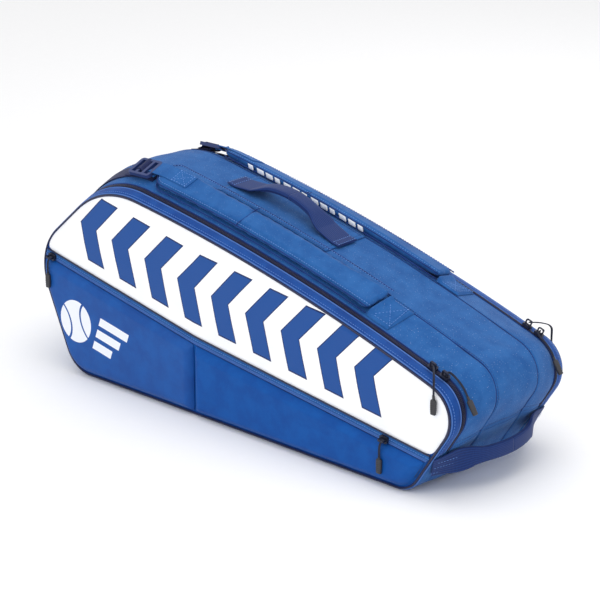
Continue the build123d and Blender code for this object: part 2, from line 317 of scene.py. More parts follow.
# The piping and the thin cords along folds are a lighter blue than the fabric beside them: partly their own
# colour, partly a painted highlight along each ridge.
cord_with_painted_highlight = plain("cord_with_painted_highlight", linear(62, 108, 182), 0.6, coat=0.05, grain=500.0)
coil_nylon = plain("zip_coil", linear(16, 22, 60), 0.4)
slider_metal = plain("slider_lacquer", linear(40, 44, 62), 0.35, metallic=0.6)
pull_moulding = plain("pull_moulding", linear(42, 42, 48), 0.5)
pull_cord = plain("pull_cord", linear(26, 32, 52), 0.75, grain=1500.0, depth=0.5)
buckle_nylon = plain("buckle_nylon", linear(34, 52, 104), 0.42)
thread_blue = plain("thread_blue", linear(96, 138, 205), 0.6)
thread_navy = plain("thread_navy", linear(14, 44, 104), 0.6)
mark_white = plain("printed_mark", linear(240, 243, 248), 0.5)
floor_paint = plain("floor_paint", (0.95, 0.95, 0.96), 0.95, depth=0.0)
print("finishes:", len(bpy.data.materials))

# %% The floor
bpy.ops.mesh.primitive_plane_add(size=9)
floor = bpy.context.active_object
floor.name = "floor"
floor.data.materials.append(floor_paint)
floor.location.z = -0.0002

# %% [markdown]
# ## The bag's form
# In side view the bag is a long slanting shape with five rounded corners and a top edge that bows a
# little. It is fullest along the middle, so there are two side views, one at the side seams and one
# for the middle strip, and everything between lies on straight lines from one to the other.

# %% The two side views
PANEL, CROWN = 112.5, 43.0
SIDE = {
    "head_heel": (-312.0, 0.0),
    "tip_heel": (306.0, 0.0),
    "tip": (392.0, 136.0),
    "crest": (60.0, 238.0),
    "shoulder": (-245.0, 293.0),
    "head": (-384.0, 168.0),
}
FULLER = {
    "head_heel": (-6.0, 0.0),
    "tip_heel": (6.0, 0.0),
    "tip": (12.0, 16.0),
    "crest": (0.0, 24.0),
    "shoulder": (-4.0, 30.0),
    "head": (-12.0, 4.0),
}
INSIDE = np.array([0.0, 130.0])
ROUNDING = {"head_heel": 50.0, "tip_heel": 40.0, "tip": 45.0, "shoulder": 140.0, "head": 80.0}
STEPS = {
    "base": 92,
    "tip_heel": 10,
    "tip_line": 18,
    "tip": 20,
    "crest": 104,
    "shoulder": 24,
    "head_line": 18,
    "head": 20,
    "heel_line": 16,
    "head_heel": 12,
}


def unit(v):
    return v / np.linalg.norm(v)


def circle_through(a, b, c):
    """The centre of the circle through three points."""
    rows = np.array([b - a, c - a]) * 2
    return np.linalg.solve(rows, [b @ b - a @ a, c @ c - a @ a])


def side_view(full):
    """Points and outward normals round the side view, from the head end of the base, anticlockwise."""
    at = {n: np.array(SIDE[n]) + full * np.array(FULLER[n]) for n in SIDE}
    centre = circle_through(at["shoulder"], at["crest"], at["tip"])
    big = np.linalg.norm(at["tip"] - centre)

    def line_corner(name, before, after):
        to_before, to_after = unit(before - at[name]), unit(after - at[name])
        half = math.acos(to_before @ to_after) / 2
        middle = at[name] + unit(to_before + to_after) * ROUNDING[name] / math.sin(half)
        reach = ROUNDING[name] / math.tan(half)
        return middle, at[name] + to_before * reach, at[name] + to_after * reach

    def arc_corner(name, other):
        radius = ROUNDING[name]
        along = unit(at[name] - other)
        inward = np.array([-along[1], along[0]])
        if inward @ (INSIDE - other) < 0:
            inward = -inward
        start = other + inward * radius - centre
        b, c = start @ along, start @ start - (big - radius) ** 2
        middle = centre + start + along * (-b + math.sqrt(b * b - c))
        return middle, middle - inward * radius, centre + unit(middle - centre) * big

    tip_mid, tip_low, tip_high = arc_corner("tip", at["tip_heel"])
    shoulder_mid, shoulder_low, shoulder_high = arc_corner("shoulder", at["head"])
    heel_mid, heel_in, heel_out = line_corner("tip_heel", at["head_heel"], at["tip"])
    head_mid, head_high, head_low = line_corner("head", at["shoulder"], at["head_heel"])
    back_mid, back_high, back_low = line_corner("head_heel", at["head"], at["tip_heel"])
    runs = [
        ("base", back_low, heel_in, None),
        ("tip_heel", heel_in, heel_out, heel_mid),
        ("tip_line", heel_out, tip_low, None),
        ("tip", tip_low, tip_high, tip_mid),
        ("crest", tip_high, shoulder_high, centre),
        ("shoulder", shoulder_high, shoulder_low, shoulder_mid),
        ("head_line", shoulder_low, head_high, None),
        ("head", head_high, head_low, head_mid),
        ("heel_line", head_low, back_high, None),
        ("head_heel", back_high, back_low, back_mid),
    ]
    points, normals = [], []
    for name, start, end, middle in runs:
        share = np.arange(STEPS[name]) / STEPS[name]
        if middle is None:
            along = unit(end - start)
            points.append(start + np.outer(share, end - start))
            normals.append(np.tile([along[1], -along[0]], (len(share), 1)))
        else:
            first = math.atan2(*(start - middle)[::-1])
            turn = (math.atan2(*(end - middle)[::-1]) - first) % (2 * math.pi)
            angle = first + share * turn
            out = np.stack([np.cos(angle), np.sin(angle)], 1)
            points.append(middle + out * np.linalg.norm(start - middle))
            normals.append(out)
    return np.concatenate(points), np.concatenate(normals)


SEAM_VIEW, CROWN_VIEW = side_view(0.0), side_view(1.0)
ROUND = sum(STEPS.values())
STARTS = dict(zip(STEPS, np.cumsum([0, *STEPS.values()])))
print("side view:", ROUND, "stations round the bag")


def on_view(view, t):
    """A side view's points and normals at stations that may fall between its own."""
    t = np.asarray(t, float) % ROUND
    low = np.floor(t).astype(int)
    share = (t - low)[..., None]
    high = (low + 1) % ROUND
    return tuple(part[low % ROUND] * (1 - share) + part[high] * share for part in view)


def lay(t, y, h=0.0):
    """Points in millimetres at stations t round the bag and y across it, h above the form."""
    t, y, h = np.broadcast_arrays(np.asarray(t, float), np.asarray(y, float), h)
    full = np.clip((PANEL - np.abs(y)) / (PANEL - CROWN), 0, 1)[..., None]
    (seam, seam_n), (crown, crown_n) = on_view(SEAM_VIEW, t), on_view(CROWN_VIEW, t)
    flat = seam * (1 - full) + crown * full
    normal = seam_n * (1 - full) + crown_n * full
    normal /= np.linalg.norm(normal, axis=-1, keepdims=True)
    flat = flat + normal * h[..., None]
    return np.stack([flat[..., 0], y, flat[..., 1]], -1)


def station(first, last, x=None, z=None, y=0.0):
    """The station between two runs where the bag's form at y has that x or that z."""
    t = np.linspace(STARTS[first], STARTS[last] + STEPS[last], 4000)
    points = lay(t, y)
    off = np.abs(points[:, 0] - x) if z is None else np.abs(points[:, 2] - z)
    return float(t[np.argmin(off)])


# %% [markdown]
# ## From grids to fabric
# A fabric piece is a closed shell between an outer and an inner grid of points. The grid's own lengths
# become its UV map, in metres, so a weave keeps its real size however the piece bends.


# %% Closed shells
def make_piece(name, points, faces, material, uv=None, smooth=True):
    """A mesh object from points in millimetres."""
    mesh = bpy.data.meshes.new(name)
    mesh.from_pydata([tuple(p) for p in np.asarray(points) * MM], [], faces)
    mesh.materials.append(material)
    if uv is not None:
        layer = mesh.uv_layers.new(name="UVMap")
        layer.data.foreach_set("uv", np.asarray(uv, np.float32).ravel())
    mesh.polygons.foreach_set("use_smooth", [smooth] * len(mesh.polygons))
    mesh.validate()
    piece = bpy.data.objects.new(name, mesh)
    bpy.context.scene.collection.objects.link(piece)
    return piece


def outward(piece):
    """Turns a piece's faces to point outwards."""
    work = bmesh.new()
    work.from_mesh(piece.data)
    bmesh.ops.recalc_face_normals(work, faces=work.faces)
    work.to_mesh(piece.data)
    work.free()
    return piece


def shell(name, outer, inner, material, closed=False):
    """A closed shell between two grids of points, joined end to end if it goes right round."""
    rows, columns = outer.shape[:2]
    spans = columns if closed else columns - 1
    middle_row, middle_column = outer[rows // 2], outer[:, columns // 2]
    steps = np.linalg.norm(np.diff(np.concatenate([middle_row, middle_row[:1]]), axis=0), axis=1)
    u = np.concatenate([[0], np.cumsum(steps)]) * MM
    v = np.concatenate([[0], np.cumsum(np.linalg.norm(np.diff(middle_column, axis=0), axis=1))]) * MM
    faces, uv = [], []

    def quad(a, b, c, d, corners):
        faces.append((a, b, c, d))
        uv.extend(corners)

    below = rows * columns
    for i in range(rows - 1):
        for j in range(spans):
            k = (j + 1) % columns
            a, b, c, d = i * columns + j, i * columns + k, (i + 1) * columns + k, (i + 1) * columns + j
            corners = [(u[j], v[i]), (u[j + 1], v[i]), (u[j + 1], v[i + 1]), (u[j], v[i + 1])]
            quad(a, b, c, d, corners)
            quad(d + below, c + below, b + below, a + below, corners[::-1])
    for i, turn in ((0, False), (rows - 1, True)):
        for j in range(spans):
            a, b = i * columns + j, i * columns + (j + 1) % columns
            loop = (b, a, a + below, b + below)
            corners = [(u[j + 1], v[i]), (u[j], v[i]), (u[j], v[i] + 0.003), (u[j + 1], v[i] + 0.003)]
            quad(*(loop[::-1] if turn else loop), corners[::-1] if turn else corners)
    if not closed:
        for j, turn in ((0, True), (columns - 1, False)):
            for i in range(rows - 1):
                a, b = i * columns + j, (i + 1) * columns + j
                loop = (b, a, a + below, b + below)
                corners = [(u[j], v[i + 1]), (u[j], v[i]), (u[j] + 0.003, v[i]), (u[j] + 0.003, v[i + 1])]
                quad(*(loop[::-1] if turn else loop), corners[::-1] if turn else corners)
    points = np.concatenate([outer.reshape(-1, 3), inner.reshape(-1, 3)])
    return outward(make_piece(name, points, faces, material, uv))


def dress(piece, body, slot, *nodes):
    """Says which body a finished piece rides on and the frame's nodes it stands for. The slot, meant for
    its finish, is not used.
    """
    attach(piece, body)
    if nodes:
        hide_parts(*nodes)
    return piece


SIDES = (("near", -1), ("far", 1))

# %% [markdown]
# ## The printed panel and the pocket mark
# The side panels carry a bold print. It is drawn as masks: a few distances and comparisons, each 0 or
# 1, that choose between white cloth and ink. A row of chevrons stands along the pocket line, and the
# head pocket carries a tennis ball with three bars. Both are plain geometry and say nothing.


# %% Masks on the side view
BEND, SLOPE_HEAD, SLOPE_GRIP = (-68.0, 116.0), -0.20525, -0.1334


def pocket_line(x):
    """The height of the pocket line at x, both in millimetres."""
    return BEND[1] + np.where(x < BEND[0], SLOPE_HEAD, SLOPE_GRIP) * (x - BEND[0])


def between(value, low, high):
    return (value > low) * (value < high)


def above_line(x, z):
    """In a shader, how far a point stands above the pocket line, in metres."""
    run = x + 0.068
    return z - 0.116 - run.least(0.0) * SLOPE_HEAD - run.most(0.0) * SLOPE_GRIP


def printed_panel():
    finish = Finish("panel_print", Specular_IOR_Level=0.3)
    where, (x, _, z) = finish.place()
    rise = above_line(x, z)
    slant = (x - rise * 0.3 + (rise - 0.07).abs() * -0.55 + 3.0) / 0.0625
    share = slant - slant.floor()
    field = between(slant.floor(), 42.5, 51.5) * between(rise, 0.019, 0.121)
    ink = field * between(share, 0.10, 0.62)
    heart = between(rise, 0.021, 0.119) * between(share, 0.125, 0.595)
    fade = finish.noise(where, 24.0, 3.0)
    cloth = finish.mix(fade.ramp(0.35, 0.75), linear(243, 245, 250), linear(251, 252, 254))
    tone = finish.mix(ink, cloth, PRINT_EDGE)
    tone = finish.mix(ink * heart, tone, PRINT_BLUE)
    grain = finish.noise(where, 1400.0, 2.0)
    finish.set(Base_Color=tone, Roughness=grain * 0.15 + 0.42 - ink * 0.08)
    finish.bump(grain + ink * 0.6, 0.12, 0.0004)
    return finish.material


def marked_pocket():
    finish = Finish("pocket_print", Sheen_Weight=0.04, Sheen_Roughness=0.4, Specular_IOR_Level=0.3)
    where, (x, y, z) = finish.place()
    turns = 2 * math.pi / 0.0009
    over = (x * turns).sin() * ((y + z) * turns).sin()
    mottle = finish.noise(where, 30.0, 4.0, 0.6)
    fine = finish.noise(where, 900.0, 2.0)
    shade = (mottle.ramp(0.3, 0.7) * 0.6 + fine * 0.3 + over * 0.1).least(1.0).most(0.0)
    cloth = finish.mix(shade, POCKET_DEEP, POCKET_BLUE)
    across, up = x + 0.293, z - 0.083
    reach = (across * across + up * up).root()
    ball = reach < 0.031
    for middle in (-0.047, 0.047):
        bend = across + up * 0.35 - middle
        curve = ((bend * bend + up * up).root() - 0.036).abs() < 0.0016
        ball = ball * (1 - curve)
    drop = z - 0.074 + (x + 0.254) * 0.2
    lean = x - drop * 0.35
    bars = 0.0
    for start, finish_x, low, high in (
        (-0.252, -0.196, 0.016, 0.029),
        (-0.252, -0.206, -0.004, 0.009),
        (-0.252, -0.216, -0.024, -0.011),
    ):
        bars = between(lean, start, finish_x) * between(drop, low, high) + bars
    tone = finish.mix((ball + bars).least(1.0), cloth, linear(236, 240, 248))
    finish.set(Base_Color=tone, Roughness=fine * 0.1 + 0.52)
    finish.bump(over * 0.5 + fine, 0.15, 0.0004)
    return finish.material


panel_print, pocket_print = printed_panel(), marked_pocket()

# %% [markdown]
# ## The gusset
# One strip of fabric goes right round the bag, over the top, down both ends and under the base. On the
# real bag it is three strips, so two seams run round it as shallow valleys, and it puffs out between
# them. It never rises under the straps or the handle patch, which lie on it.


# %% How high the gusset stands
def fade(value, low, high):
    """0 below low and 1 above high, with a smooth step between."""
    share = np.clip((value - low) / (high - low), 0, 1)
    return share * share * (3 - 2 * share)


def hump(value, middle, width):
    return np.exp(-(((value - middle) / width) ** 2))


def creases(t, y):
    """Soft creases as a sum of a few slow waves."""
    a = np.sin(t * 0.31 + 0.045 * y) * np.sin(0.061 * y + 0.9 + t * 0.02)
    b = np.sin(t * 0.17 - 0.083 * y + 1.7) * np.sin(t * 0.047 + 2.1)
    c = np.sin(t * 0.53 + 0.12 * y + 0.4) * np.sin(0.11 * y - t * 0.08)
    return 0.5 * a + 0.35 * b + 0.15 * c


TIP_SEAM = station("tip_heel", "tip", z=80.0)
CREST_FROM, CREST_TO = STARTS["crest"], STARTS["shoulder"]
BASE_END = STARTS["tip_heel"]
PATCH_ENDS = sorted((station("tip", "head_line", x=-96.0), station("tip", "head_line", x=96.0)))
STRAP_START, STRAP_END, PATCH_END = (
    station("tip", "head_line", x=x, y=66.0) for x in (-177.0, 209.0, 246.0)
)

WEBBING_END = station("shoulder", "head_line", z=236.0, y=66.0)


def gusset_height(t, y):
    on_base = 1 - fade(t, BASE_END, BASE_END + 8) * (1 - fade(t, ROUND - 10, ROUND - 1))
    far_out = np.abs(y)
    under_strap = fade(far_out, 42.5, 45) * fade(t, STRAP_END - 25, STRAP_END - 17)
    patch_from, patch_to = PATCH_ENDS
    under_patch = fade(t, patch_from - 3, patch_from) * (1 - fade(t, patch_to, patch_to + 3))
    under_webbing = hump(far_out, 66.15, 15) * fade(t, STRAP_START - 4, STRAP_START) * (t < WEBBING_END)
    covered = np.maximum(under_strap * (t < STRAP_START), under_patch * (far_out < 42))
    covered = np.maximum(covered, np.clip(under_webbing * 2.2, 0, 1))
    centre = 1.6 * (1 - (far_out / CROWN) ** 2) * (far_out < CROWN)
    outer = np.where(far_out >= CROWN, np.sin(np.pi * np.clip((far_out - 43) / 49, 0, 1)), 0) * 1.8
    ends = 1 - fade(t, CREST_FROM, CREST_FROM + 14) * (1 - fade(t, CREST_TO, CREST_TO + 20))
    soft = centre * (0.5 + 0.5 * ends) + outer * ends + creases(t, y) * (0.35 + 1.1 * ends)
    soft = soft * (1 - covered)
    valley = 1.5 * hump(far_out, CROWN, 1.6) + 1.2 * hump(t, TIP_SEAM, 0.5) + 0.5 * (far_out > 90.5)
    return (soft - valley * (1 - 0.6 * covered)) * (1 - on_base) - 0.2 * (1 - on_base) * covered


def columns(*stops):
    """Positions across the bag, closer together where a seam needs them."""
    return np.unique(np.concatenate([np.linspace(*stop) for stop in stops]))


across = columns((0, 38, 12), (38, 48, 13), (48, 88, 12), (88, 92, 4))
across = np.concatenate([-across[:0:-1], across])[:, None]
rounds = (np.arange(int(ROUND * 1.5)) / 1.5)[None, :]
outer = lay(rounds, across, gusset_height(rounds, across))
inner = lay(rounds, across, -2.7)
gusset = shell("gusset_cover", outer, inner, gusset_fabric, closed=True)
dress(gusset, "root", "gusset_fabric", "base_panel", "centre_gusset", "near_gusset", "far_gusset")
print("gusset cover:", len(gusset.data.polygons), "faces")

# %% [markdown]
# ## Corner wraps, zip tapes and rims
# Below the zips the gusset carries on to the side seams. Above, the zip is let in: tape on the bag, a
# row of teeth, tape on the opening side, and a rim of fabric out to the side panel's piping. A strip
# is a grid like the gusset's, with its own width and its own run of stations.

# %% Strips along the edge
CORNER_Z = 62.0
LOW_TIP = station("tip_heel", "tip", z=CORNER_Z, y=100.0)
LOW_HEAD = station("head", "heel_line", z=CORNER_Z, y=100.0)


def edge_strip(name, side, t, low, high, material, rise=0.0, inside=-2.7, count=8, bow=0.0):
    """A strip beside the zip: its run of stations, its distance from the middle and its height."""
    across = np.linspace(low, high, count)[:, None]
    swell = rise + bow * np.sin(np.pi * (across - low) / (high - low))
    outer = lay(t[None, :], side * across, swell + 0 * t[None, :])
    return shell(name, outer, lay(t[None, :], side * across, inside), material)


def bead(name, t, y, h, radius, material, closed=False, sides=8):
    """A round cord that follows the bag's form at one distance from its middle."""
    turn = np.linspace(0, 2 * np.pi, sides, endpoint=False)[:, None]
    side = np.sign(y)
    points = lay(t[None, :], y + side * radius * np.cos(turn), h + radius * np.sin(turn))
    rows, count = points.shape[:2]
    spans = count if closed else count - 1
    faces = []
    for i in range(rows):
        here, there = i * count, (i + 1) % rows * count
        for j in range(spans):
            k = (j + 1) % count
            faces.append((here + j, here + k, there + k, there + j))
    if not closed:
        faces += [tuple(i * count + end for i in range(rows)) for end in (0, count - 1)]
    return outward(make_piece(name, points.reshape(-1, 3), faces, material))


def joined(name, pieces):
    """Joins pieces into one and drops the parts."""
    work = bmesh.new()
    mesh = bpy.data.meshes.new(name)
    materials = []
    for piece in pieces:
        own = piece.data.materials[0]
        if own not in materials:
            materials.append(own)
        before = len(work.faces)
        work.from_mesh(piece.data)
        work.faces.ensure_lookup_table()
        for face in work.faces[before:]:
            face.material_index = materials.index(own)
    work.to_mesh(mesh)
    work.free()
    for material in materials:
        mesh.materials.append(material)
    for piece in pieces:
        bpy.data.objects.remove(piece)
    whole = bpy.data.objects.new(name, mesh)
    bpy.context.scene.collection.objects.link(whole)
    return whole


zip_run = np.arange(LOW_TIP + 0.15, LOW_HEAD - 0.1, 0.8)
wrap_run = np.arange(LOW_HEAD, LOW_TIP + ROUND, 1.0)
all_round = np.arange(0, ROUND, 0.75)
for name, side in SIDES:
    wrap = edge_strip(f"{name}_corner_wrap", side, wrap_run, 92.0, 112.2, gusset_fabric)
    dress(wrap, "root", "gusset_fabric")
    seam = bead(f"{name}_gusset_welt", zip_run, side * 91.6, -0.2, 0.75, edging)
    tape = edge_strip(f"{name}_tape", side, zip_run, 92.0, 95.4, tape_cloth, -0.5, count=4)
    dress(joined(f"{name}_bag_zip_side", [tape, seam]), "root", "zip_tape", f"{name}_bag_tape")
    tape = edge_strip(f"{name}_tape", side, zip_run, 96.6, 100.4, tape_cloth, -0.5, count=4)
    # A thin cord along the rim's fold, lighter than the rim for a painted highlight along the fold's ridge.
    line = bead(f"{name}_line", zip_run, side * 100.6, 0.2, 0.7, cord_with_painted_highlight)
    dress(joined(f"{name}_flap_zip_side", [tape, line]), f"{name}_flap", "zip_tape", f"{name}_flap_tape")
    rim = edge_strip(f"{name}_rim", side, zip_run, 101.0, 112.6, rim_fabric, bow=0.8)
    dress(rim, f"{name}_flap", "gusset_fabric", f"{name}_flap_rim")
    # The piping: a cord coloured light, partly for a painted highlight, and two dark beads between it and
    # the panel that are painted shade in the groove under the panel's edge.
    cord = bead(f"{name}_cord", all_round, side * 113.9, -0.9, 1.05, cord_with_painted_highlight, closed=True)
    groove_shade = bead(f"{name}_core", all_round, side * 115.2, -3.4, 1.6, edging, closed=True)
    shade = bead(f"{name}_shade", all_round, side * 116.6, -2.7, 1.25, coil_nylon, closed=True)
    piping = joined(f"{name}_piping_rolls", [cord, groove_shade, shade])
    dress(piping, f"{name}_flap", "piping", f"{name}_piping")

# %% [markdown]
# ## Side panels and pockets
# Each side panel is a stiff board with a printed skin, and the pockets are shallow boxes sewn on it.
# All are one shape of problem: an outline in the side view and a height that depends on how far a point
# is from the edge. Rings of points shrink from the outline to a line down its middle, so the edge stays
# clean and the surface closes without a pole.


# %% Panels from an outline
def clip(outline, point, normal):
    """The part of a closed outline on the side of a line that its normal points to."""
    kept = []
    height = (outline - point) @ normal
    for i in range(len(outline)):
        a, b = height[i - 1], height[i]
        if (a >= 0) != (b >= 0):
            kept.append(outline[i - 1] + (outline[i] - outline[i - 1]) * a / (a - b))
        if b >= 0:
            kept.append(outline[i])
    return np.array(kept)


def evenly(outline, count):
    """The same closed outline with its points at even distances."""
    ring = np.concatenate([outline, outline[:1]])
    run = np.concatenate([[0], np.cumsum(np.linalg.norm(np.diff(ring, axis=0), axis=1))])
    at = np.linspace(0, run[-1], count, endpoint=False)
    return np.stack([np.interp(at, run, ring[:, i]) for i in (0, 1)], 1)


def eased(outline, passes):
    """Rounds an outline's corners by averaging each point with its neighbours."""
    for _ in range(passes):
        outline = (np.roll(outline, 1, 0) + outline * 2 + np.roll(outline, -1, 0)) / 4
    return outline


def seam_outline(inset):
    """The side seam's outline, drawn in by some millimetres."""
    return lay(np.arange(0, ROUND, 0.5), PANEL, -inset)[:, [0, 2]]


def along_line(drop, keep_above):
    """The pocket line's two halves, lowered by drop, as points and normals that clip an outline."""
    x = np.linspace(-420, 430, 3)
    x[1] = BEND[0]
    z = pocket_line(x) - drop
    halves = []
    for i in (0, 1):
        a, b = np.array([x[i], z[i]]), np.array([x[i + 1], z[i + 1]])
        normal = np.array([-(b - a)[1], (b - a)[0]]) * (1 if keep_above else -1)
        halves.append((a, normal))
    return halves


def above_or_below(inset, drop, above):
    """The seam outline above or below the pocket line, which bends once, upwards at its middle."""
    head, grip = along_line(drop, above)
    outline = seam_outline(inset)
    if above:
        return clip(clip(outline, *head), *grip)
    height = outline[:, 1] - (pocket_line(outline[:, 0]) - drop)
    start = int(np.argmax((height < 0) & (np.roll(height, 1) >= 0)))
    turned, heights = np.roll(outline, -start, 0), np.roll(height, -start)
    low = turned[heights < 0]
    bend = np.array([[BEND[0], BEND[1] - drop]])
    ends = [np.array([[x, pocket_line(np.array(x)) - drop]]) for x in (low[0][0], low[-1][0])]
    return np.concatenate([low, ends[1], bend, ends[0]]) if low[-1][0] != low[0][0] else low


def edge_distance(points, outline):
    """How far each point is from an outline."""
    a, b = outline, np.roll(outline, -1, 0)
    d = b - a
    size = np.maximum((d**2).sum(1), 1e-9)
    nearest = np.full(len(points), 1e9)
    for i in range(0, len(a), 40):
        offset = points[:, None] - a[None, i : i + 40]
        share = np.clip((offset * d[i : i + 40]).sum(2) / size[i : i + 40], 0, 1)
        gap = np.linalg.norm(offset - share[..., None] * d[None, i : i + 40], axis=2)
        nearest = np.minimum(nearest, gap.min(1))
    return nearest


def panel(name, side, outline, spine, height, back, material, inside=None, rings=26, count=420):
    """A closed panel: its front stands at height(distance from the edge, x, z), its back is flat."""
    edge = evenly(outline, count)
    a, b = (np.array(p) for p in spine)
    share = np.clip(((edge - a) @ (b - a)) / ((b - a) @ (b - a)), 0, 1)[:, None]
    middle = a + share * (b - a)
    steps = np.linspace(0, 1, rings) ** 1.5
    rows = [edge * (1 - s) + middle * s for s in steps]
    flat = np.concatenate(rows)
    depth = edge_distance(flat, edge)
    depth[:count] = 0
    front = height(depth, flat[:, 0], flat[:, 1])
    outer = np.stack([flat[:, 0], side * front, flat[:, 1]], 1)
    rear_flat = np.concatenate([edge, middle])
    rear_y = back(edge_distance(rear_flat, edge)) if callable(back) else np.full(len(rear_flat), back)
    rear = np.stack([rear_flat[:, 0], side * rear_y, rear_flat[:, 1]], 1)
    base = len(outer)
    faces, kinds = [], []
    for i in range(rings - 1):
        for j in range(count):
            k = (j + 1) % count
            faces.append((i * count + j, i * count + k, (i + 1) * count + k, (i + 1) * count + j))
            kinds.append(0)
    for j in range(count):
        k = (j + 1) % count
        faces.append((j, k, base + k, base + j))
        faces.append((base + k, base + j, base + count + j, base + count + k))
        kinds += [0, 1]
    work = make_piece(name, np.concatenate([outer, rear]), faces, material)
    if inside is not None:
        work.data.materials.append(inside)
        work.data.polygons.foreach_set("material_index", kinds)
    merge = bmesh.new()
    merge.from_mesh(work.data)
    bmesh.ops.remove_doubles(merge, verts=merge.verts, dist=2e-5)
    bmesh.ops.dissolve_degenerate(merge, edges=merge.edges, dist=1e-6)
    merge.to_mesh(work.data)
    merge.free()
    return outward(work)


def slack(x, z):
    """The slow waviness of a board's skin."""
    return 0.5 * np.sin(x * 0.021 + 0.6) * np.sin(z * 0.034 + 1.1) + 0.3 * np.sin(x * 0.052 - z * 0.03)


def skin_height(depth, x, z):
    return 116.6 + 1.5 * fade(depth, 0, 5) + (1.0 + slack(x, z)) * fade(depth, 6, 50)


def pocket_height(depth, x, z):
    """A pocket's front: a lean from the edge, a rounded fold and a nearly flat face."""
    lean = 1 - (1 - np.clip(depth / 11, 0, 1)) ** 1.8
    fold = 0.35 * slack(x * 1.4, z * 1.7) * fade(depth, 14, 40)
    return 117.0 + 9.9 * lean + fold


upper = eased(evenly(above_or_below(4.3, 0.0, True), 460), 9)
pocket_area = above_or_below(7.0, 13.0, False)
left, right = np.array([-1.0, 0.0]), np.array([1.0, 0.0])
head_area = eased(evenly(clip(pocket_area, np.array([-70.0, 0.0]), left), 420), 4)
grip_area = eased(evenly(clip(pocket_area, np.array([-66.0, 0.0]), right), 420), 4)
print("pocket areas:", head_area.min(0), head_area.max(0), grip_area.min(0), grip_area.max(0))
for name, side in SIDES:
    spine = ((-255, 220), (330, 112))
    skin = panel(f"{name}_printed_panel", side, upper, spine, skin_height, 115.9, panel_print)
    dress(skin, f"{name}_flap", "panel_skin", f"{name}_panel_skin")
    spine = ((-230, 150), (300, 80))
    field = panel(
        f"{name}_pocket_field",
        side,
        seam_outline(4.3),
        spine,
        lambda depth, x, z: 115.3 + 1.1 * fade(depth, 0, 4),
        112.5,
        pocket_fabric,
        lining,
    )
    dress(field, f"{name}_flap", "pocket_fabric", f"{name}_pocket_band", f"{name}_panel_board")
    for pocket, area, spine in (
        ("head_pocket", head_area, ((-262, 88), (-120, 62))),
        ("grip_pocket", grip_area, ((-30, 50), (315, 26))),
    ):
        front = panel(
            f"{name}_{pocket}_front",
            side,
            area,
            spine,
            pocket_height,
            lambda depth: 117.0 + 8.2 * (1 - (1 - np.clip(depth / 11, 0, 1)) ** 1.8),
            pocket_print if pocket == "head_pocket" else pocket_fabric,
            lining,
        )
        dress(front, f"{name}_{pocket}", "pocket_fabric", f"{name}_{pocket}")

# %% [markdown]
# ## Webbing and cords
# Webbing, beads and pulls are all one section swept along a path, so one function makes them: a path,
# the direction across it, and how wide and thick it is at each point. A squared section gives flat
# webbing and a round one gives cord.


# %% One section along a path
def sweep(name, path, side_way, half_wide, half_thick, material, sides=14, square=1.0):
    """A closed tube along a path of points in millimetres, with its UV along and round it."""
    path = np.asarray(path, float)
    count = len(path)
    side_way = np.broadcast_to(np.asarray(side_way, float), path.shape)
    tangent = np.gradient(path, axis=0)
    tangent /= np.linalg.norm(tangent, axis=1, keepdims=True)
    up = np.cross(tangent, side_way)
    up /= np.linalg.norm(up, axis=1, keepdims=True)
    wide = np.cross(up, tangent)
    turn = np.linspace(0, 2 * np.pi, sides, endpoint=False)
    c, s = (np.sign(f(turn)) * np.abs(f(turn)) ** square for f in (np.cos, np.sin))
    half_wide = np.broadcast_to(half_wide, count)[:, None, None]
    half_thick = np.broadcast_to(half_thick, count)[:, None, None]
    rings = path[:, None] + wide[:, None] * half_wide * c[:, None] + up[:, None] * half_thick * s[:, None]
    assert np.isfinite(rings).all(), f"{name} runs along its own side direction"
    u = np.concatenate([[0], np.cumsum(np.linalg.norm(np.diff(path, axis=0), axis=1))]) * MM
    ring = rings[count // 2]
    v = np.cumsum(np.linalg.norm(np.diff(np.concatenate([ring, ring[:1]]), axis=0), axis=1)) * MM
    v = np.concatenate([[0], v])
    faces, uv = [], []
    for i in range(count - 1):
        for j in range(sides):
            k = (j + 1) % sides
            faces.append((i * sides + j, i * sides + k, (i + 1) * sides + k, (i + 1) * sides + j))
            uv += [(u[i], v[j]), (u[i], v[j + 1]), (u[i + 1], v[j + 1]), (u[i + 1], v[j])]
    for i in (0, count - 1):
        loop = tuple(i * sides + j for j in range(sides))
        faces.append(loop)
        uv += [(u[i] + c[j] * 0.001, s[j] * 0.001) for j in range(sides)]
    piece = outward(make_piece(name, rings.reshape(-1, 3), faces, material, uv))
    for end in (-1, -2):  # flat ends, so that two halves of a loop meet without a bright line
        piece.data.polygons[end].use_smooth = False
    return piece


def flowing(points, count):
    """A smooth open path through the middle of a few control points."""
    spline = np.asarray(points, float)
    for _ in range(4):
        start, end = spline[:-1], spline[1:]
        cut = np.stack([start * 0.75 + end * 0.25, start * 0.25 + end * 0.75], 1)
        spline = np.concatenate([spline[:1], cut.reshape(-1, 3), spline[-1:]])
    run = np.concatenate([[0], np.cumsum(np.linalg.norm(np.diff(spline, axis=0), axis=1))])
    at = np.linspace(0, run[-1], count)
    return np.stack([np.interp(at, run, spline[:, i]) for i in range(3)], 1)


def mirrored(piece, name):
    """The same piece on the far side."""
    mesh = piece.data.copy()
    mesh.name = name
    mesh.transform(((1, 0, 0, 0), (0, -1, 0, 0), (0, 0, 1, 0), (0, 0, 0, 1)))
    mesh.flip_normals()
    twin = bpy.data.objects.new(name, mesh)
    bpy.context.scene.collection.objects.link(twin)
    return twin


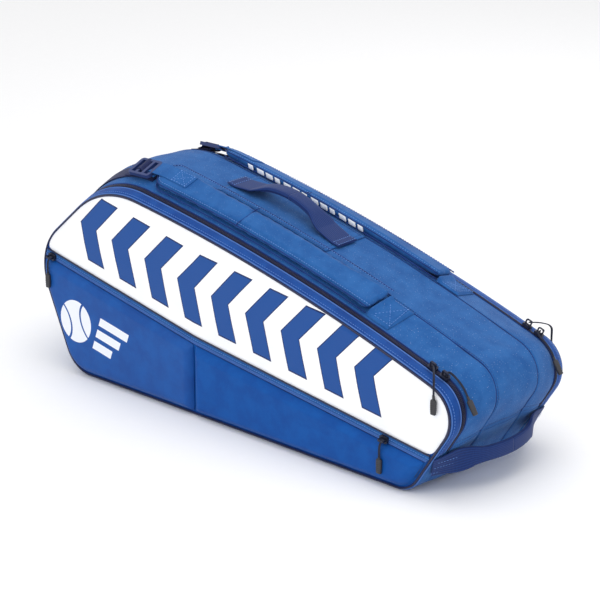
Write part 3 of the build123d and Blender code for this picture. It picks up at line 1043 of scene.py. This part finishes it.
def both_sides(piece, part, body, slot, *nodes):
    """Dresses a near piece and its twin, with body and nodes named for each side."""
    piece.name = f"near_{part}"
    twin = mirrored(piece, f"far_{part}")
    for made, (name, _) in zip((piece, twin), SIDES):
        fill = [text.replace("*", name) for text in (body, *nodes)]
        dress(made, fill[0], slot, *fill[1:])
    return piece, twin


# %% [markdown]
# ## Shoulder straps
# Each strap is a foam pad in a fabric sleeve, sewn down one end of the bag and buckled at the other. A
# pad like that is round where the foam fills it, so it starts as a slightly thin blank and is blown up
# as cloth, which rounds its edges evenly. The cross seam and the welts are pressed in afterwards.

# %% Strap pads
STRAP_MIDDLE, STRAP_HALF = -66.15, 22.35


def path_on_bag(x_from, x_to, y, h, count=60):
    """Stations from one x to another along the top, with their points and the way across them."""
    t = np.linspace(*(station("tip", "head_line", x=x, y=y) for x in (x_from, x_to)), count)
    return t, lay(t, y, h), lay(t, y + 1, h) - lay(t, y - 1, h)


def strap_blank():
    t, _, _ = path_on_bag(-177, 209, STRAP_MIDDLE, 0, 110)
    run = np.linspace(0, 386, 110)[:, None]
    end = np.clip(run / 22, 0, 1)
    round_end = np.sqrt(1 - (1 - end) ** 2)
    close = np.sqrt(1 - (1 - np.clip((386 - run) / 5, 0, 1)) ** 2)
    turn = np.linspace(0, 2 * np.pi, 40, endpoint=False)
    c, s = (np.sign(f(turn)) * np.abs(f(turn)) ** 0.55 for f in (np.cos, np.sin))
    y = STRAP_MIDDLE + (STRAP_HALF - 1.6) * c * (0.35 + 0.65 * round_end) * (0.9 + 0.1 * close)
    h = 7.4 + 5.6 * s * (0.45 + 0.55 * round_end) * (0.5 + 0.5 * close)
    points = lay(t[:, None], y, h)
    rows, sides = points.shape[:2]
    faces = [
        (i * sides + j, i * sides + (j + 1) % sides, (i + 1) * sides + (j + 1) % sides, (i + 1) * sides + j)
        for i in range(rows - 1)
        for j in range(sides)
    ]
    faces += [tuple(range(sides)), tuple((rows - 1) * sides + j for j in range(sides))]
    return outward(make_piece("near_strap_pad", points.reshape(-1, 3), faces, strap_fabric))


def applied(piece):
    """Puts a piece's modifiers into its mesh."""
    seen = piece.evaluated_get(bpy.context.evaluated_depsgraph_get())
    mesh = bpy.data.meshes.new_from_object(seen)
    piece.modifiers.clear()
    piece.data = mesh
    return piece


def coordinates(mesh):
    flat = np.empty(len(mesh.vertices) * 3, np.float32)
    mesh.vertices.foreach_get("co", flat)
    return flat.reshape(-1, 3).astype(float)


def puffed(piece, voxel=4.5, pressure=4.0, cap=2.4):
    """Blows a closed blank up as cloth, keeps each point within cap of where it was, and smooths it."""
    remesh = piece.modifiers.new("remesh", "REMESH")
    remesh.mode, remesh.voxel_size = "VOXEL", voxel * MM
    applied(piece)
    start = coordinates(piece.data)
    cloth = piece.modifiers.new("cloth", "CLOTH")
    cloth.settings.quality = 4
    cloth.settings.use_pressure = True
    cloth.settings.uniform_pressure_force = pressure
    cloth.settings.effector_weights.gravity = 0
    cloth.point_cache.frame_start, cloth.point_cache.frame_end = 1, 20
    for number in range(1, 21):
        bpy.context.scene.frame_set(number)
    applied(piece)
    move = coordinates(piece.data) - start
    far = np.maximum(np.linalg.norm(move, axis=1, keepdims=True), 1e-9)
    moved = start + move / far * np.minimum(far, cap * MM)
    piece.data.vertices.foreach_set("co", moved.astype(np.float32).ravel())
    bpy.context.scene.frame_set(1)
    rounding = piece.modifiers.new("round", "SUBSURF")
    rounding.levels = rounding.render_levels = 1
    applied(piece)
    piece.data.materials.clear()
    piece.data.materials.append(strap_fabric)
    piece.data.polygons.foreach_set("use_smooth", [True] * len(piece.data.polygons))
    return piece


def pressed(piece, change):
    """Moves each point of a piece on the bag along the bag's normal by change(x, y, h)."""
    points = coordinates(piece.data) / MM
    t = np.linspace(STARTS["tip"], STARTS["head_line"], 700)
    full = np.clip((PANEL - np.abs(points[:, 1])) / (PANEL - CROWN), 0, 1)[:, None]
    nearest = np.empty(len(points), int)
    (seam, normal), (crown, _) = on_view(SEAM_VIEW, t), on_view(CROWN_VIEW, t)
    for i in range(0, len(points), 1500):
        part = slice(i, i + 1500)
        form = seam[None] * (1 - full[part, None]) + crown[None] * full[part, None]
        nearest[part] = ((form - points[part, None][:, :, [0, 2]]) ** 2).sum(2).argmin(1)
    form = seam[nearest] * (1 - full) + crown[nearest] * full
    out = normal[nearest]
    h = ((points[:, [0, 2]] - form) * out).sum(1)
    shift = change(form[:, 0], points[:, 1], h)
    points[:, [0, 2]] += out * shift[:, None]
    piece.data.vertices.foreach_set("co", (points * MM).astype(np.float32).ravel())
    return h.min(), h.max()


def strap_shape(x, y, h):
    """Presses the strap's seams in, and keeps it on the bag and under its own height."""
    top = fade(h, 8, 12)
    across = np.clip((y - STRAP_MIDDLE) / STRAP_HALF, -1, 1)
    seam = -2.6 * hump(x, -19, 2.4) * top - 0.9 * hump(x, -19, 9) * top
    wave = 0.35 * np.sin(x * 0.06 + y * 0.05) * top
    crown = -0.6 * across**2 * top
    wanted = np.clip(h + seam + wave + crown, 0.45, 14.35)
    return wanted - h


strap = puffed(strap_blank())
print("strap stands from", *[round(v, 1) for v in pressed(strap, strap_shape)], "mm above the bag")
straps = both_sides(strap, "strap_pad", "root", "gusset_fabric", "*_strap")


# %% Strap welts, end patches, tabs and webbing
def strap_loop(inset, h, y_half=STRAP_HALF, x_from=-177.0, x_to=209.0):
    """A path round the strap's edge, from its patch end to its round end and back."""
    corner = np.linspace(0, np.pi, 24)
    y_half = y_half - inset
    lead = x_from + inset + y_half * 0.9
    round_end = lead - np.sin(corner[1:-1]) * y_half * 0.9
    xs = np.concatenate([np.linspace(x_to, lead, 60), round_end, np.linspace(lead, x_to, 60)])
    ys = np.concatenate([np.full(60, -1.0), -np.cos(corner[1:-1]), np.full(60, 1.0)]) * y_half
    t_line, _, _ = path_on_bag(-215, 250, STRAP_MIDDLE, 0, 400)
    x_line = lay(t_line, STRAP_MIDDLE)[:, 0]
    t = np.interp(xs, x_line, t_line)
    return lay(t, STRAP_MIDDLE + ys, h)


def across_strap(x, h):
    """A path over the strap's top, from edge to edge."""
    y = np.linspace(-STRAP_HALF + 1.2, STRAP_HALF - 1.2, 30)
    drop = 2.4 * np.clip((np.abs(y) - 15) / 6, 0, 1) ** 2
    t = station("tip", "head_line", x=x, y=66.0)
    return lay(np.full(30, t), STRAP_MIDDLE + y, h - drop)


welt = joined("near_strap_welts", [
    sweep("cross_seam", across_strap(-19.0, 12.2), (1, 0, 0), 0.8, 0.8, edging, sides=8),
    sweep("welt_low", strap_loop(0.6, 3.2), (0, 0, 1), 0.9, 0.9, edging, sides=8),
    sweep("welt_high", strap_loop(0.7, 11.8), (0, 0, 1), 0.8, 0.8, edging, sides=8),
])
both_sides(welt, "strap_welts", "root", "gusset_fabric")

MARK_WALL, MARK_STEP, MARK_LOW = 43.8, 16.5, 3.6
t_line, _, _ = path_on_bag(-150, 150, MARK_WALL, 0, 300)
x_line = lay(t_line, MARK_WALL)[:, 0]
h_mark = np.array([MARK_LOW, 6.0, 8.0, 9.8])[:, None]
marks = []
for number in range(13):
    start = -118 + number * MARK_STEP
    run = np.linspace(start, start + (11.5 if number % 3 else 8.0), 6)
    t_mark = np.interp(run[None, :] - (h_mark - MARK_LOW) * 0.45, x_line, t_line)
    skin = [lay(t_mark, MARK_WALL + inset, h_mark) for inset in (-0.35, 1.6)]
    marks.append(shell("mark", skin[0], skin[1], mark_white))
dress(joined("far_strap_marks", marks), "root", "gusset_fabric")

t_patch = np.linspace(PATCH_END, STRAP_END - 0.4, 36)[None, :]
y_patch = np.linspace(-88.3, -44.0, 26)[:, None]
span = STRAP_END - 0.4 - PATCH_END
edge = np.minimum(np.minimum(y_patch + 88.3, -44.0 - y_patch), (t_patch - PATCH_END) / span * 37)
rise = 0.8 + 3.2 * fade(edge, 0, 4) - 1.0 * hump(edge, 6.0, 1.2)
rise = rise + 5.5 * fade(t_patch, STRAP_END - 2.2, STRAP_END) * fade(edge, 0, 5)
patch = shell("strap_patch", lay(t_patch, y_patch, rise), lay(t_patch, y_patch, 0.4), strap_fabric)
both_sides(patch, "strap_end_patch", "root", "gusset_fabric", "*_strap_patch")

_, head_path, _ = path_on_bag(-122, -181, STRAP_MIDDLE, 15.1, 30)
_, curl_low, _ = path_on_bag(-187, -181, STRAP_MIDDLE, 8.0, 3)
_, curl_far, _ = path_on_bag(-189.5, -189, STRAP_MIDDLE, 13.0, 2)
_, curl_side, _ = path_on_bag(-190.5, -190, STRAP_MIDDLE, 9.5, 2)
tab_path = flowing([*head_path[::6], curl_far[0], curl_side[0], curl_low[0], curl_low[2]], 60)
tab = sweep("strap_tab", tab_path, (0, 0.928, 0.372), 12.5, 0.8, strap_fabric, sides=16, square=0.4)
both_sides(tab, "strap_loop_tab", "root", "webbing", "*_strap_tab")

low_t = np.linspace(
    station("tip", "head_line", x=-183.0, y=66.0), station("shoulder", "head_line", z=239.0, y=66.0), 50
)
low_path = lay(low_t, STRAP_MIDDLE, 1.15)
low_across = lay(low_t, STRAP_MIDDLE + 1, 1.15) - lay(low_t, STRAP_MIDDLE - 1, 1.15)
webbing = sweep("strap_webbing", low_path, low_across, 12.5, 0.75, webbing_cloth, sides=16, square=0.4)
both_sides(webbing, "strap_webbing_tail", "root", "webbing", "*_strap_webbing")


def on_bag(x, h):
    return path_on_bag(x, x - 0.5, STRAP_MIDDLE, h, 2)[1][0]


# Over the buckle's bar and back underneath, as (x, height above the bag).
lock_stops = (
    (-224, 4.2), (-217, 6.5), (-213.5, 11), (-210, 13.6), (-206, 13.4),
    (-203, 10), (-202, 6), (-206, 3.9), (-216, 3.0), (-238, 2.9),
)
lock_path = flowing([on_bag(x, h) for x, h in lock_stops], 70)
lock = sweep(
    "lock_webbing", lock_path, (0, 0.928, 0.372), 12.0, 0.65, webbing_cloth, sides=14, square=0.4
)
both_sides(lock, "buckle_webbing", "*_buckle", "webbing")
for name, _ in SIDES:
    bpy.data.objects[f"{name}_buckle"].data.materials.clear()
    bpy.data.objects[f"{name}_buckle"].data.materials.append(buckle_nylon)

# %% [markdown]
# ## Handles
# Both handles are webbing loops sewn down at their ends, and both swing: the middle moves and the sewn
# ends stay. So each is made as two halves that meet at the top, and each half bends smoothly from the
# bag to the loop. The grab handle is folded round a core in the middle, so there it is narrow and fat.


# %% Grab handle
def arch_height(rise, half, at):
    radius = (half**2 + rise**2) / (2 * rise)
    return np.sqrt(radius**2 - np.minimum(np.abs(at), half) ** 2) - radius + rise


def grip_run(at, rise, half, moving, foot, low):
    """How high a loop stands at a distance from its middle: an arch, then a straight foot."""
    end = arch_height(rise, half, moving) - 1.5
    straight = end + (low - end) * (np.abs(at) - moving) / (foot - moving)
    return np.where(np.abs(at) <= moving, arch_height(rise, half, at) - 1.5, np.maximum(straight, low))


seats = [lay(station("tip", "head_line", x=x), 0.0) for x in (-78.0, 78.0)]
grab_middle, grab_along = (seats[0] + seats[1]) / 2, unit(seats[1] - seats[0])
grab_up = np.array([-grab_along[2], 0, grab_along[0]])
for half, way in (("head_half", -1), ("tip_half", 1)):
    at = np.concatenate([np.linspace(102, 92, 4)[:-1], np.linspace(92, 0, 60)])
    height = grip_run(at, 28.0, 78.0, 62.0, 90.0, 3.5)
    path = grab_middle + np.outer(at * way, grab_along) + np.outer(height, grab_up)
    tight = 1 - fade(at, 34, 58)
    grip = sweep(
        f"grab_handle_{half}",
        path,
        (0, 1, 0),
        18.8 - 7.0 * tight,
        1.5 + 2.6 * tight,
        handle_cloth,
        sides=22,
        square=0.45,
    )
    start, end = (
        tuple((grab_middle + grab_along * way * u + grab_up * h) * MM) for u, h in ((88, 4), (63, 9))
    )
    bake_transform(grip)
    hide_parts("top_handle", "top_handle_feet")

t_patch = np.linspace(*PATCH_ENDS, 60)[None, :]
y_patch = np.linspace(-39.5, 39.5, 30)[:, None]
patch = shell(
    "handle_patch_cover",
    lay(t_patch, y_patch, 1.9 - 0.7 * hump(np.abs(y_patch), 36.5, 1.2) + 0 * t_patch),
    lay(t_patch, y_patch, 0.3),
    gusset_fabric,
)
dress(patch, "root", "gusset_fabric", "handle_patch")

# %% End handle
end_middle = np.array([335.3, 0.0, 50.0])
foot_at = lay(station("tip_heel", "tip", z=44.0, y=100.0), -109.0, 2.3)
slant = np.array([0.535, 0, 0.845])
for name, side in SIDES:
    at = np.linspace(109, 0, 70)
    arch = end_middle[0] + arch_height(42.0, 98.0, at) - 1.5
    share = fade(at, 60, 109)
    leaves = arch[np.argmin(np.abs(at - 60))]
    straight = leaves + (foot_at[0] - leaves) * (at - 60) / 49
    x = np.where(at <= 60, arch, straight)
    z = 50 + (foot_at[2] - 50) * np.clip((at - 60) / 49, 0, 1)
    path = np.stack([x, side * at, z], 1)
    way = np.outer(share, slant) + np.outer(1 - share, (0, 0, 1))
    tight = 1 - fade(at, 40, 84)
    grip = sweep(
        f"end_handle_{name}_half",
        path,
        way,
        18.0 - 8.0 * tight,
        1.5 + 2.4 * tight,
        handle_cloth,
        sides=22,
        square=0.5,
    )
    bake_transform(grip)
    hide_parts("end_handle", "end_handle_feet")

# %% [markdown]
# ## Zip sliders and pulls
# The sliders are cast metal and keep their frame shapes with a lacquer finish. Each pull is a thin cord,
# doubled through the slider's bail, that ends in a soft moulded tab with grip ribs.


# %% Pulls
def moulded_tab(path_start, heading, face):
    """A tab that swells, narrows and has four ribs."""
    heading, face = unit(np.array(heading, float)), unit(np.array(face, float))
    run = np.linspace(0, 20, 44)
    wide = 3.1 + 1.0 * fade(run, 0, 1.5) - 0.5 * fade(run, 10, 20) - 0.7 * fade(run, 19.2, 20)
    ribs = 0.25 * np.cos(run * 2 * np.pi / 2.6) * ((run > 5) & (run < 16))
    thick = 1.2 + 0.6 * fade(run, 0, 1.5) + ribs - 0.7 * fade(run, 19.2, 20)
    path = np.asarray(path_start) + np.outer(run, heading)
    return sweep("tab", path, np.cross(heading, face), wide, thick, pull_moulding, sides=20, square=0.3)


def zip_pull(part, route, face, body, node, gap=0.95):
    """A doubled cord along a route and its tab, near and far."""
    path = flowing(route, 40)
    # Across the cord. The second pull starts straight inwards, so no fixed direction stays across it.
    way = np.cross(np.gradient(path, axis=0), face)
    way /= np.linalg.norm(way, axis=1, keepdims=True)
    if abs(face[1]) > 0.5:
        way = np.broadcast_to((1.0, 0.0, 0.0), path.shape)
    apart = way * gap * np.sin(np.linspace(0.5, 2.6, 40))[:, None]
    strands = [
        sweep("strand", path + apart * sign, way, 0.75, 0.75, pull_cord, sides=8) for sign in (-1, 1)
    ]
    last = path[-5:] + (path[-1] - path[-2]) * 0.3
    knot = sweep("knot", last, way[-5:], 1.9, 1.5, pull_moulding, sides=10)
    tab = moulded_tab(route[-1], np.subtract(route[-1], route[-2]), face)
    both_sides(joined(part, [*strands, knot, tab]), part, body, "pull_plastic", node)


tip_x, tip_z, tip_out = 327.36, 116.749, 45.0
zip_pull(
    "first_cord",
    [
        (324.757, -98.39, 174.258),
        (335.0, -110.0, 173.5),
        (344.757, -121.9, 168.5),
        (344.757, -121.9, 155.0),
        (344.757, -121.9, 140.258),
    ],
    (0, -1, 0),
    "*_first_pull",
    "*_first_pull",
)
angles = [(tip_out + 7.5, math.radians(46)), (tip_out + 6.5, math.radians(24))]
zip_pull(
    "second_cord",
    [(343.816, -98.37, 167.535), (343.816, -89.0, 167.535)]
    + [(tip_x + r * math.cos(a), -89.0, tip_z + r * math.sin(a)) for r, a in angles],
    (1.0, 0.0, -0.15),
    "*_second_pull",
    "*_second_pull",
)
POCKET_BAILS = {"head_pocket": (-345.0, -125.1, 165.653), "grip_pocket": (266.0, -125.1, 64.243)}
for pocket, (x, y, z) in POCKET_BAILS.items():
    zip_pull(
        f"{pocket}_cord",
        [(x, y, z), (x, -129.2, z - 6), (x, -129.6, z - 14), (x, -129.6, z - 24)],
        (0, -1, 0),
        f"*_{pocket}_pull",
        f"*_{pocket}_pull",
    )
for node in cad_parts:
    if node.endswith("_slider"):
        metal = bpy.data.objects[node].data.materials
        metal.clear()
        metal.append(slider_metal)

# %% [markdown]
# ## The pocket zips
# A pocket zip shows as a dark line under the skin's edge, a strip of fabric and then thin pale lines,
# the folded edges of the tape, coloured light partly for a painted highlight along each fold. They run the
# panel's whole length and bend once with the pocket line.


# %% Lines under the printed skin
def inside(points, outline):
    """Which points lie inside a closed outline."""
    a, b = outline, np.roll(outline, -1, 0)
    hits = np.zeros(len(points), int)
    for (ax, az), (bx, bz) in zip(a, b):
        if az != bz:
            crosses = (points[:, 1] < az) != (points[:, 1] < bz)
            hits += crosses & (points[:, 0] < ax + (points[:, 1] - az) / (bz - az) * (bx - ax))
    return hits % 2 == 1


def line_path(drop, y, inset=5.0, step=2.0):
    x = np.arange(-400, 400, step)
    points = np.stack([x, pocket_line(x) - drop], 1)
    points = points[inside(points, seam_outline(inset))]
    return np.stack([points[:, 0], np.full(len(points), y), points[:, 1]], 1)


# The fold lines are pale partly as a painted highlight along each fold's ridge.
fold_paths = [line_path(drop, -117.3) for drop in (8.6, 10.6)]
parts = [
    sweep("edge", line_path(0.6, -117.7), (0, 1, 0), 1.3, 1.0, coil_nylon, sides=8),
    sweep("strip", line_path(4.6, -117.2), (0, 0, 1), 3.0, 0.9, gusset_fabric, sides=10, square=0.5),
    *[sweep("fold", path, (0, 1, 0), 0.75, 0.75, cord_with_painted_highlight, sides=8) for path in fold_paths],
    sweep("fold_low", line_path(12.3, -116.9), (0, 1, 0), 0.7, 0.7, edging, sides=8),
]
both_sides(joined("near_pocket_zip", parts), "pocket_zip_lines", "*_flap", "zip_tape")

# %% [markdown]
# ## Inside
# Open a flap and the two racket compartments show: a quilted divider down the middle and a board in the
# base. Both are foam in a lining, sewn through in diamonds.


# %% Quilted divider and base
def quilt(u, v, pitch=42.0, depth=1.1):
    """Diamond quilting: low along two families of slanting lines."""
    waves = [np.abs(np.sin(np.pi * (u + k * v) / pitch)) for k in (-1, 1)]
    return -depth * np.maximum(np.exp(-waves[0] / 0.12), np.exp(-waves[1] / 0.12))


divider_outline = clip(
    lay(np.arange(0, ROUND, 0.5), 0.0, -3.6)[:, [0, 2]], np.array([0.0, 5.4]), np.array([0.0, 1.0])
)
halves = [
    panel(
        f"divider_{name}",
        side,
        divider_outline,
        ((-230, 150), (300, 70)),
        lambda depth, x, z: 0.3 + 1.9 * fade(depth, 0, 3) + quilt(x, z) * fade(depth, 4, 12),
        0.05,
        lining,
        rings=60,
        count=560,
    )
    for name, side in SIDES
]
dress(joined("divider_cover", halves), "root", "foam_board", "centre_divider")
x_board = np.linspace(-264, 269, 200)[None, :]
y_board = np.linspace(-103.5, 103.5, 90)[:, None]
z_board = 5.15 + quilt(x_board, y_board, depth=0.9) - 0.8 * (np.abs(y_board) < 5)
flat = np.broadcast_arrays(x_board, y_board, z_board)
flat_under = np.stack([flat[0], flat[1], 0 * flat[2] + 3.0], -1)
board = shell("base_board_cover", np.stack(flat, -1), flat_under, lining)
dress(board, "root", "foam_board", "base_board")

# %% [markdown]
# ## Stitches and zip teeth
# Thousands of small things that follow paths are what Geometry Nodes are for. One tree turns a line
# into a curve, spaces points along it, puts one bead on each and turns it to an aim stored on the
# line: along it for a stitch, across it for a zip tooth.


# %% The node tree
def row_tree(name, material):
    tree = bpy.data.node_groups.new(name, "GeometryNodeTree")
    interface = tree.interface
    interface.new_socket("Geometry", in_out="INPUT", socket_type="NodeSocketGeometry")
    for label, value in (("Pitch", 0.004), ("Length", 0.003), ("Thickness", 0.0008)):
        interface.new_socket(label, in_out="INPUT", socket_type="NodeSocketFloat").default_value = value
    interface.new_socket("Geometry", in_out="OUTPUT", socket_type="NodeSocketGeometry")

    def node(kind, settings=None, links=None):
        made = tree.nodes.new(kind)
        for key, value in (settings or {}).items():
            setattr(made, key, value)
        for key, value in (links or {}).items():
            if isinstance(value, bpy.types.NodeSocket):
                tree.links.new(value, made.inputs[key])
            else:
                made.inputs[key].default_value = value
        return made

    sizes = node("NodeGroupInput")
    curve = node("GeometryNodeMeshToCurve", links={"Mesh": sizes.outputs["Geometry"]})
    spaced = node(
        "GeometryNodeResampleCurve",
        {"mode": "LENGTH"},
        {"Curve": curve.outputs[0], "Length": sizes.outputs["Pitch"]},
    )
    ball = node("GeometryNodeMeshUVSphere", links={"Segments": 6, "Rings": 4, "Radius": 0.5})
    aim = node("GeometryNodeInputNamedAttribute", {"data_type": "FLOAT_VECTOR"}, {"Name": "aim"})
    turn = node("FunctionNodeAlignRotationToVector", {"axis": "Z"}, {"Vector": aim.outputs[0]})
    size = node(
        "ShaderNodeCombineXYZ",
        links={
            "X": sizes.outputs["Thickness"],
            "Y": sizes.outputs["Thickness"],
            "Z": sizes.outputs["Length"],
        },
    )
    beads = node(
        "GeometryNodeInstanceOnPoints",
        links={
            "Points": spaced.outputs[0],
            "Instance": ball.outputs["Mesh"],
            "Rotation": turn.outputs[0],
            "Scale": size.outputs[0],
        },
    )
    real = node("GeometryNodeRealizeInstances", links={"Geometry": beads.outputs[0]})
    painted = node("GeometryNodeSetMaterial", links={"Geometry": real.outputs[0], "Material": material})
    done = node("NodeGroupOutput")
    tree.links.new(painted.outputs[0], done.inputs[0])
    return tree


thread_tree = row_tree("thread_rows", thread_blue)
dark_thread_tree = row_tree("dark_thread_rows", thread_navy)
teeth_tree = row_tree("zip_teeth", coil_nylon)


def rows(name, tree, paths, pitch, length, thickness, aims=None):
    """Beads along paths in millimetres, as one plain mesh."""
    points, edges, aim = [], [], []
    for number, path in enumerate(paths):
        path = np.asarray(path, float)
        edges += [(len(points) + i, len(points) + i + 1) for i in range(len(path) - 1)]
        points += [tuple(p * MM) for p in path]
        aim.append(np.gradient(path, axis=0) if aims is None else aims[number])
    mesh = bpy.data.meshes.new(name)
    mesh.from_pydata(points, edges, [])
    mesh.attributes.new("aim", "FLOAT_VECTOR", "POINT").data.foreach_set(
        "vector", np.concatenate(aim).astype(np.float32).ravel()
    )
    piece = bpy.data.objects.new(name, mesh)
    bpy.context.scene.collection.objects.link(piece)
    modifier = piece.modifiers.new("rows", "NODES")
    modifier.node_group = tree
    for socket in tree.interface.items_tree:
        if socket.in_out == "INPUT" and socket.name in ("Pitch", "Length", "Thickness"):
            value = {"Pitch": pitch, "Length": length, "Thickness": thickness}[socket.name]
            modifier[socket.identifier] = value * MM
    applied(piece)
    piece.data.polygons.foreach_set("use_smooth", [True] * len(piece.data.polygons))
    print(name, len(piece.data.polygons), "faces")
    return piece


# %% Zip teeth
for name, side in SIDES:
    for label, body, y, share in (("bag", "root", 95.3, 0.0), ("flap", f"{name}_flap", 97.0, 0.5)):
        t = zip_run[1:-1] + share
        path = lay(t, side * y, 0.15)
        across = lay(t, side * y + 1, 0.15) - lay(t, side * y - 1, 0.15)
        teeth = rows(f"{name}_{label}_teeth", teeth_tree, [path], 2.3, 3.3, 1.7, [across])
        dress(teeth, body, "zip_tape")

# %% Stitches
def box_rows(corner, along, over, cross=True):
    """A stitched box with a cross in it, from a corner and its two sides."""
    corner, along, over = (np.asarray(v, float) for v in (corner, along, over))
    a, b, c, d = corner, corner + along, corner + along + over, corner + over
    lines = [(a, b), (b, c), (c, d), (d, a)] + ([(a, c), (b, d)] if cross else [])
    return [p + np.outer(np.linspace(0, 1, 14), q - p) for p, q in lines]


def patch_rows(x_from, x_to, y_from, y_to, h, cross=True):
    """The same box laid on the top of the bag."""
    stops = [(x_from, y_from), (x_to, y_from), (x_to, y_to), (x_from, y_to)]
    pairs = [(0, 1), (1, 2), (2, 3), (3, 0)] + ([(0, 2), (1, 3)] if cross else [])
    lines = []
    for i, j in pairs:
        x = np.linspace(stops[i][0], stops[j][0], 20)
        y = np.linspace(stops[i][1], stops[j][1], 20)
        t = np.array([station("tip", "head_line", x=a, y=b) for a, b in zip(x, y)])
        lines.append(lay(t, y, h))
    return lines


crest_run = np.arange(STARTS["tip_line"] + 2, LOW_HEAD, 1.0)
for side_way, label in ((-1, "near"), (1, "far")):
    seam_line = bead(f"{label}_gusset_seam", crest_run, side_way * 42.9, -1.0, 0.75, edging)
    dress(seam_line, "root", "gusset_fabric")
SEAM_STITCHES = 40.6  # how far the stitches beside each gusset seam are from the middle
seam_height = gusset_height(crest_run, np.full_like(crest_run, SEAM_STITCHES)) + 0.1
seam_rows = [lay(crest_run, side * SEAM_STITCHES, seam_height) for side in (-1, 1)]
end_y = np.linspace(-90, 90, 60)
end_rows = [
    lay(TIP_SEAM + drop, end_y, gusset_height(np.full(60, TIP_SEAM + drop), end_y) + 0.1)
    for drop in (-0.75, 0.75)
]
strap_rows = [strap_loop(3.4, 14.0)]
patch_lines = patch_rows(213.5, 241.5, -84.3, -48.0, 4.1)
tab_lines = patch_rows(-150.0, -126.0, -76.0, -56.5, 15.95)
near_rows = strap_rows + patch_lines + tab_lines
far_rows = [path * (1, -1, 1) for path in near_rows]
handle_rows = [row for way in (-1, 1) for row in (
    box_rows(
        grab_middle + grab_along * way * 91.5 - np.array([0, 15.5, 0]) + grab_up * 5.1,
        grab_along * way * 9.0,
        np.array([0, 31.0, 0]),
        cross=False,
    )
)]
foot_out = np.array([0.845, 0, -0.535])
for side in (-1, 1):
    for step in (-11.0, 0.0, 11.0):
        row_y = np.linspace(107, 86, 12)
        row_x = foot_at[0] + (361.0 - foot_at[0]) * (109 - row_y) / 49
        row_z = foot_at[2] + (50 - foot_at[2]) * (109 - row_y) / 49
        row = np.stack([row_x, side * row_y, row_z], 1) + slant * step + foot_out * 1.8
        handle_rows.append(row)
bag_rows = seam_rows + end_rows + patch_rows(-90, 90, -36.8, 36.8, 1.95, False)
dress(rows("bag_stitches", dark_thread_tree, bag_rows, 4.0, 3.0, 0.75), "root", "gusset_fabric")
dress(rows("strap_stitches", thread_tree, near_rows + far_rows, 4.2, 3.0, 0.8), "root", "gusset_fabric")
dress(rows("handle_stitches", thread_tree, handle_rows, 3.6, 2.7, 0.8), "root", "webbing")
for name, side in SIDES:
    rim_row = lay(zip_run, side * 110.4, 0.45)
    flap_rows = [rim_row, line_path(5.0, side * 118.2, step=4.0)]
    stitches = rows(f"{name}_flap_stitches", thread_tree, flap_rows, 4.0, 3.0, 0.7)
    dress(stitches, f"{name}_flap", "gusset_fabric")

# %% Finish
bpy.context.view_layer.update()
meshes = [item.data for item in bpy.data.objects if item.type == "MESH"]
triangles = sum(len(polygon.vertices) - 2 for mesh in meshes for polygon in mesh.polygons)
print("triangles:", triangles)
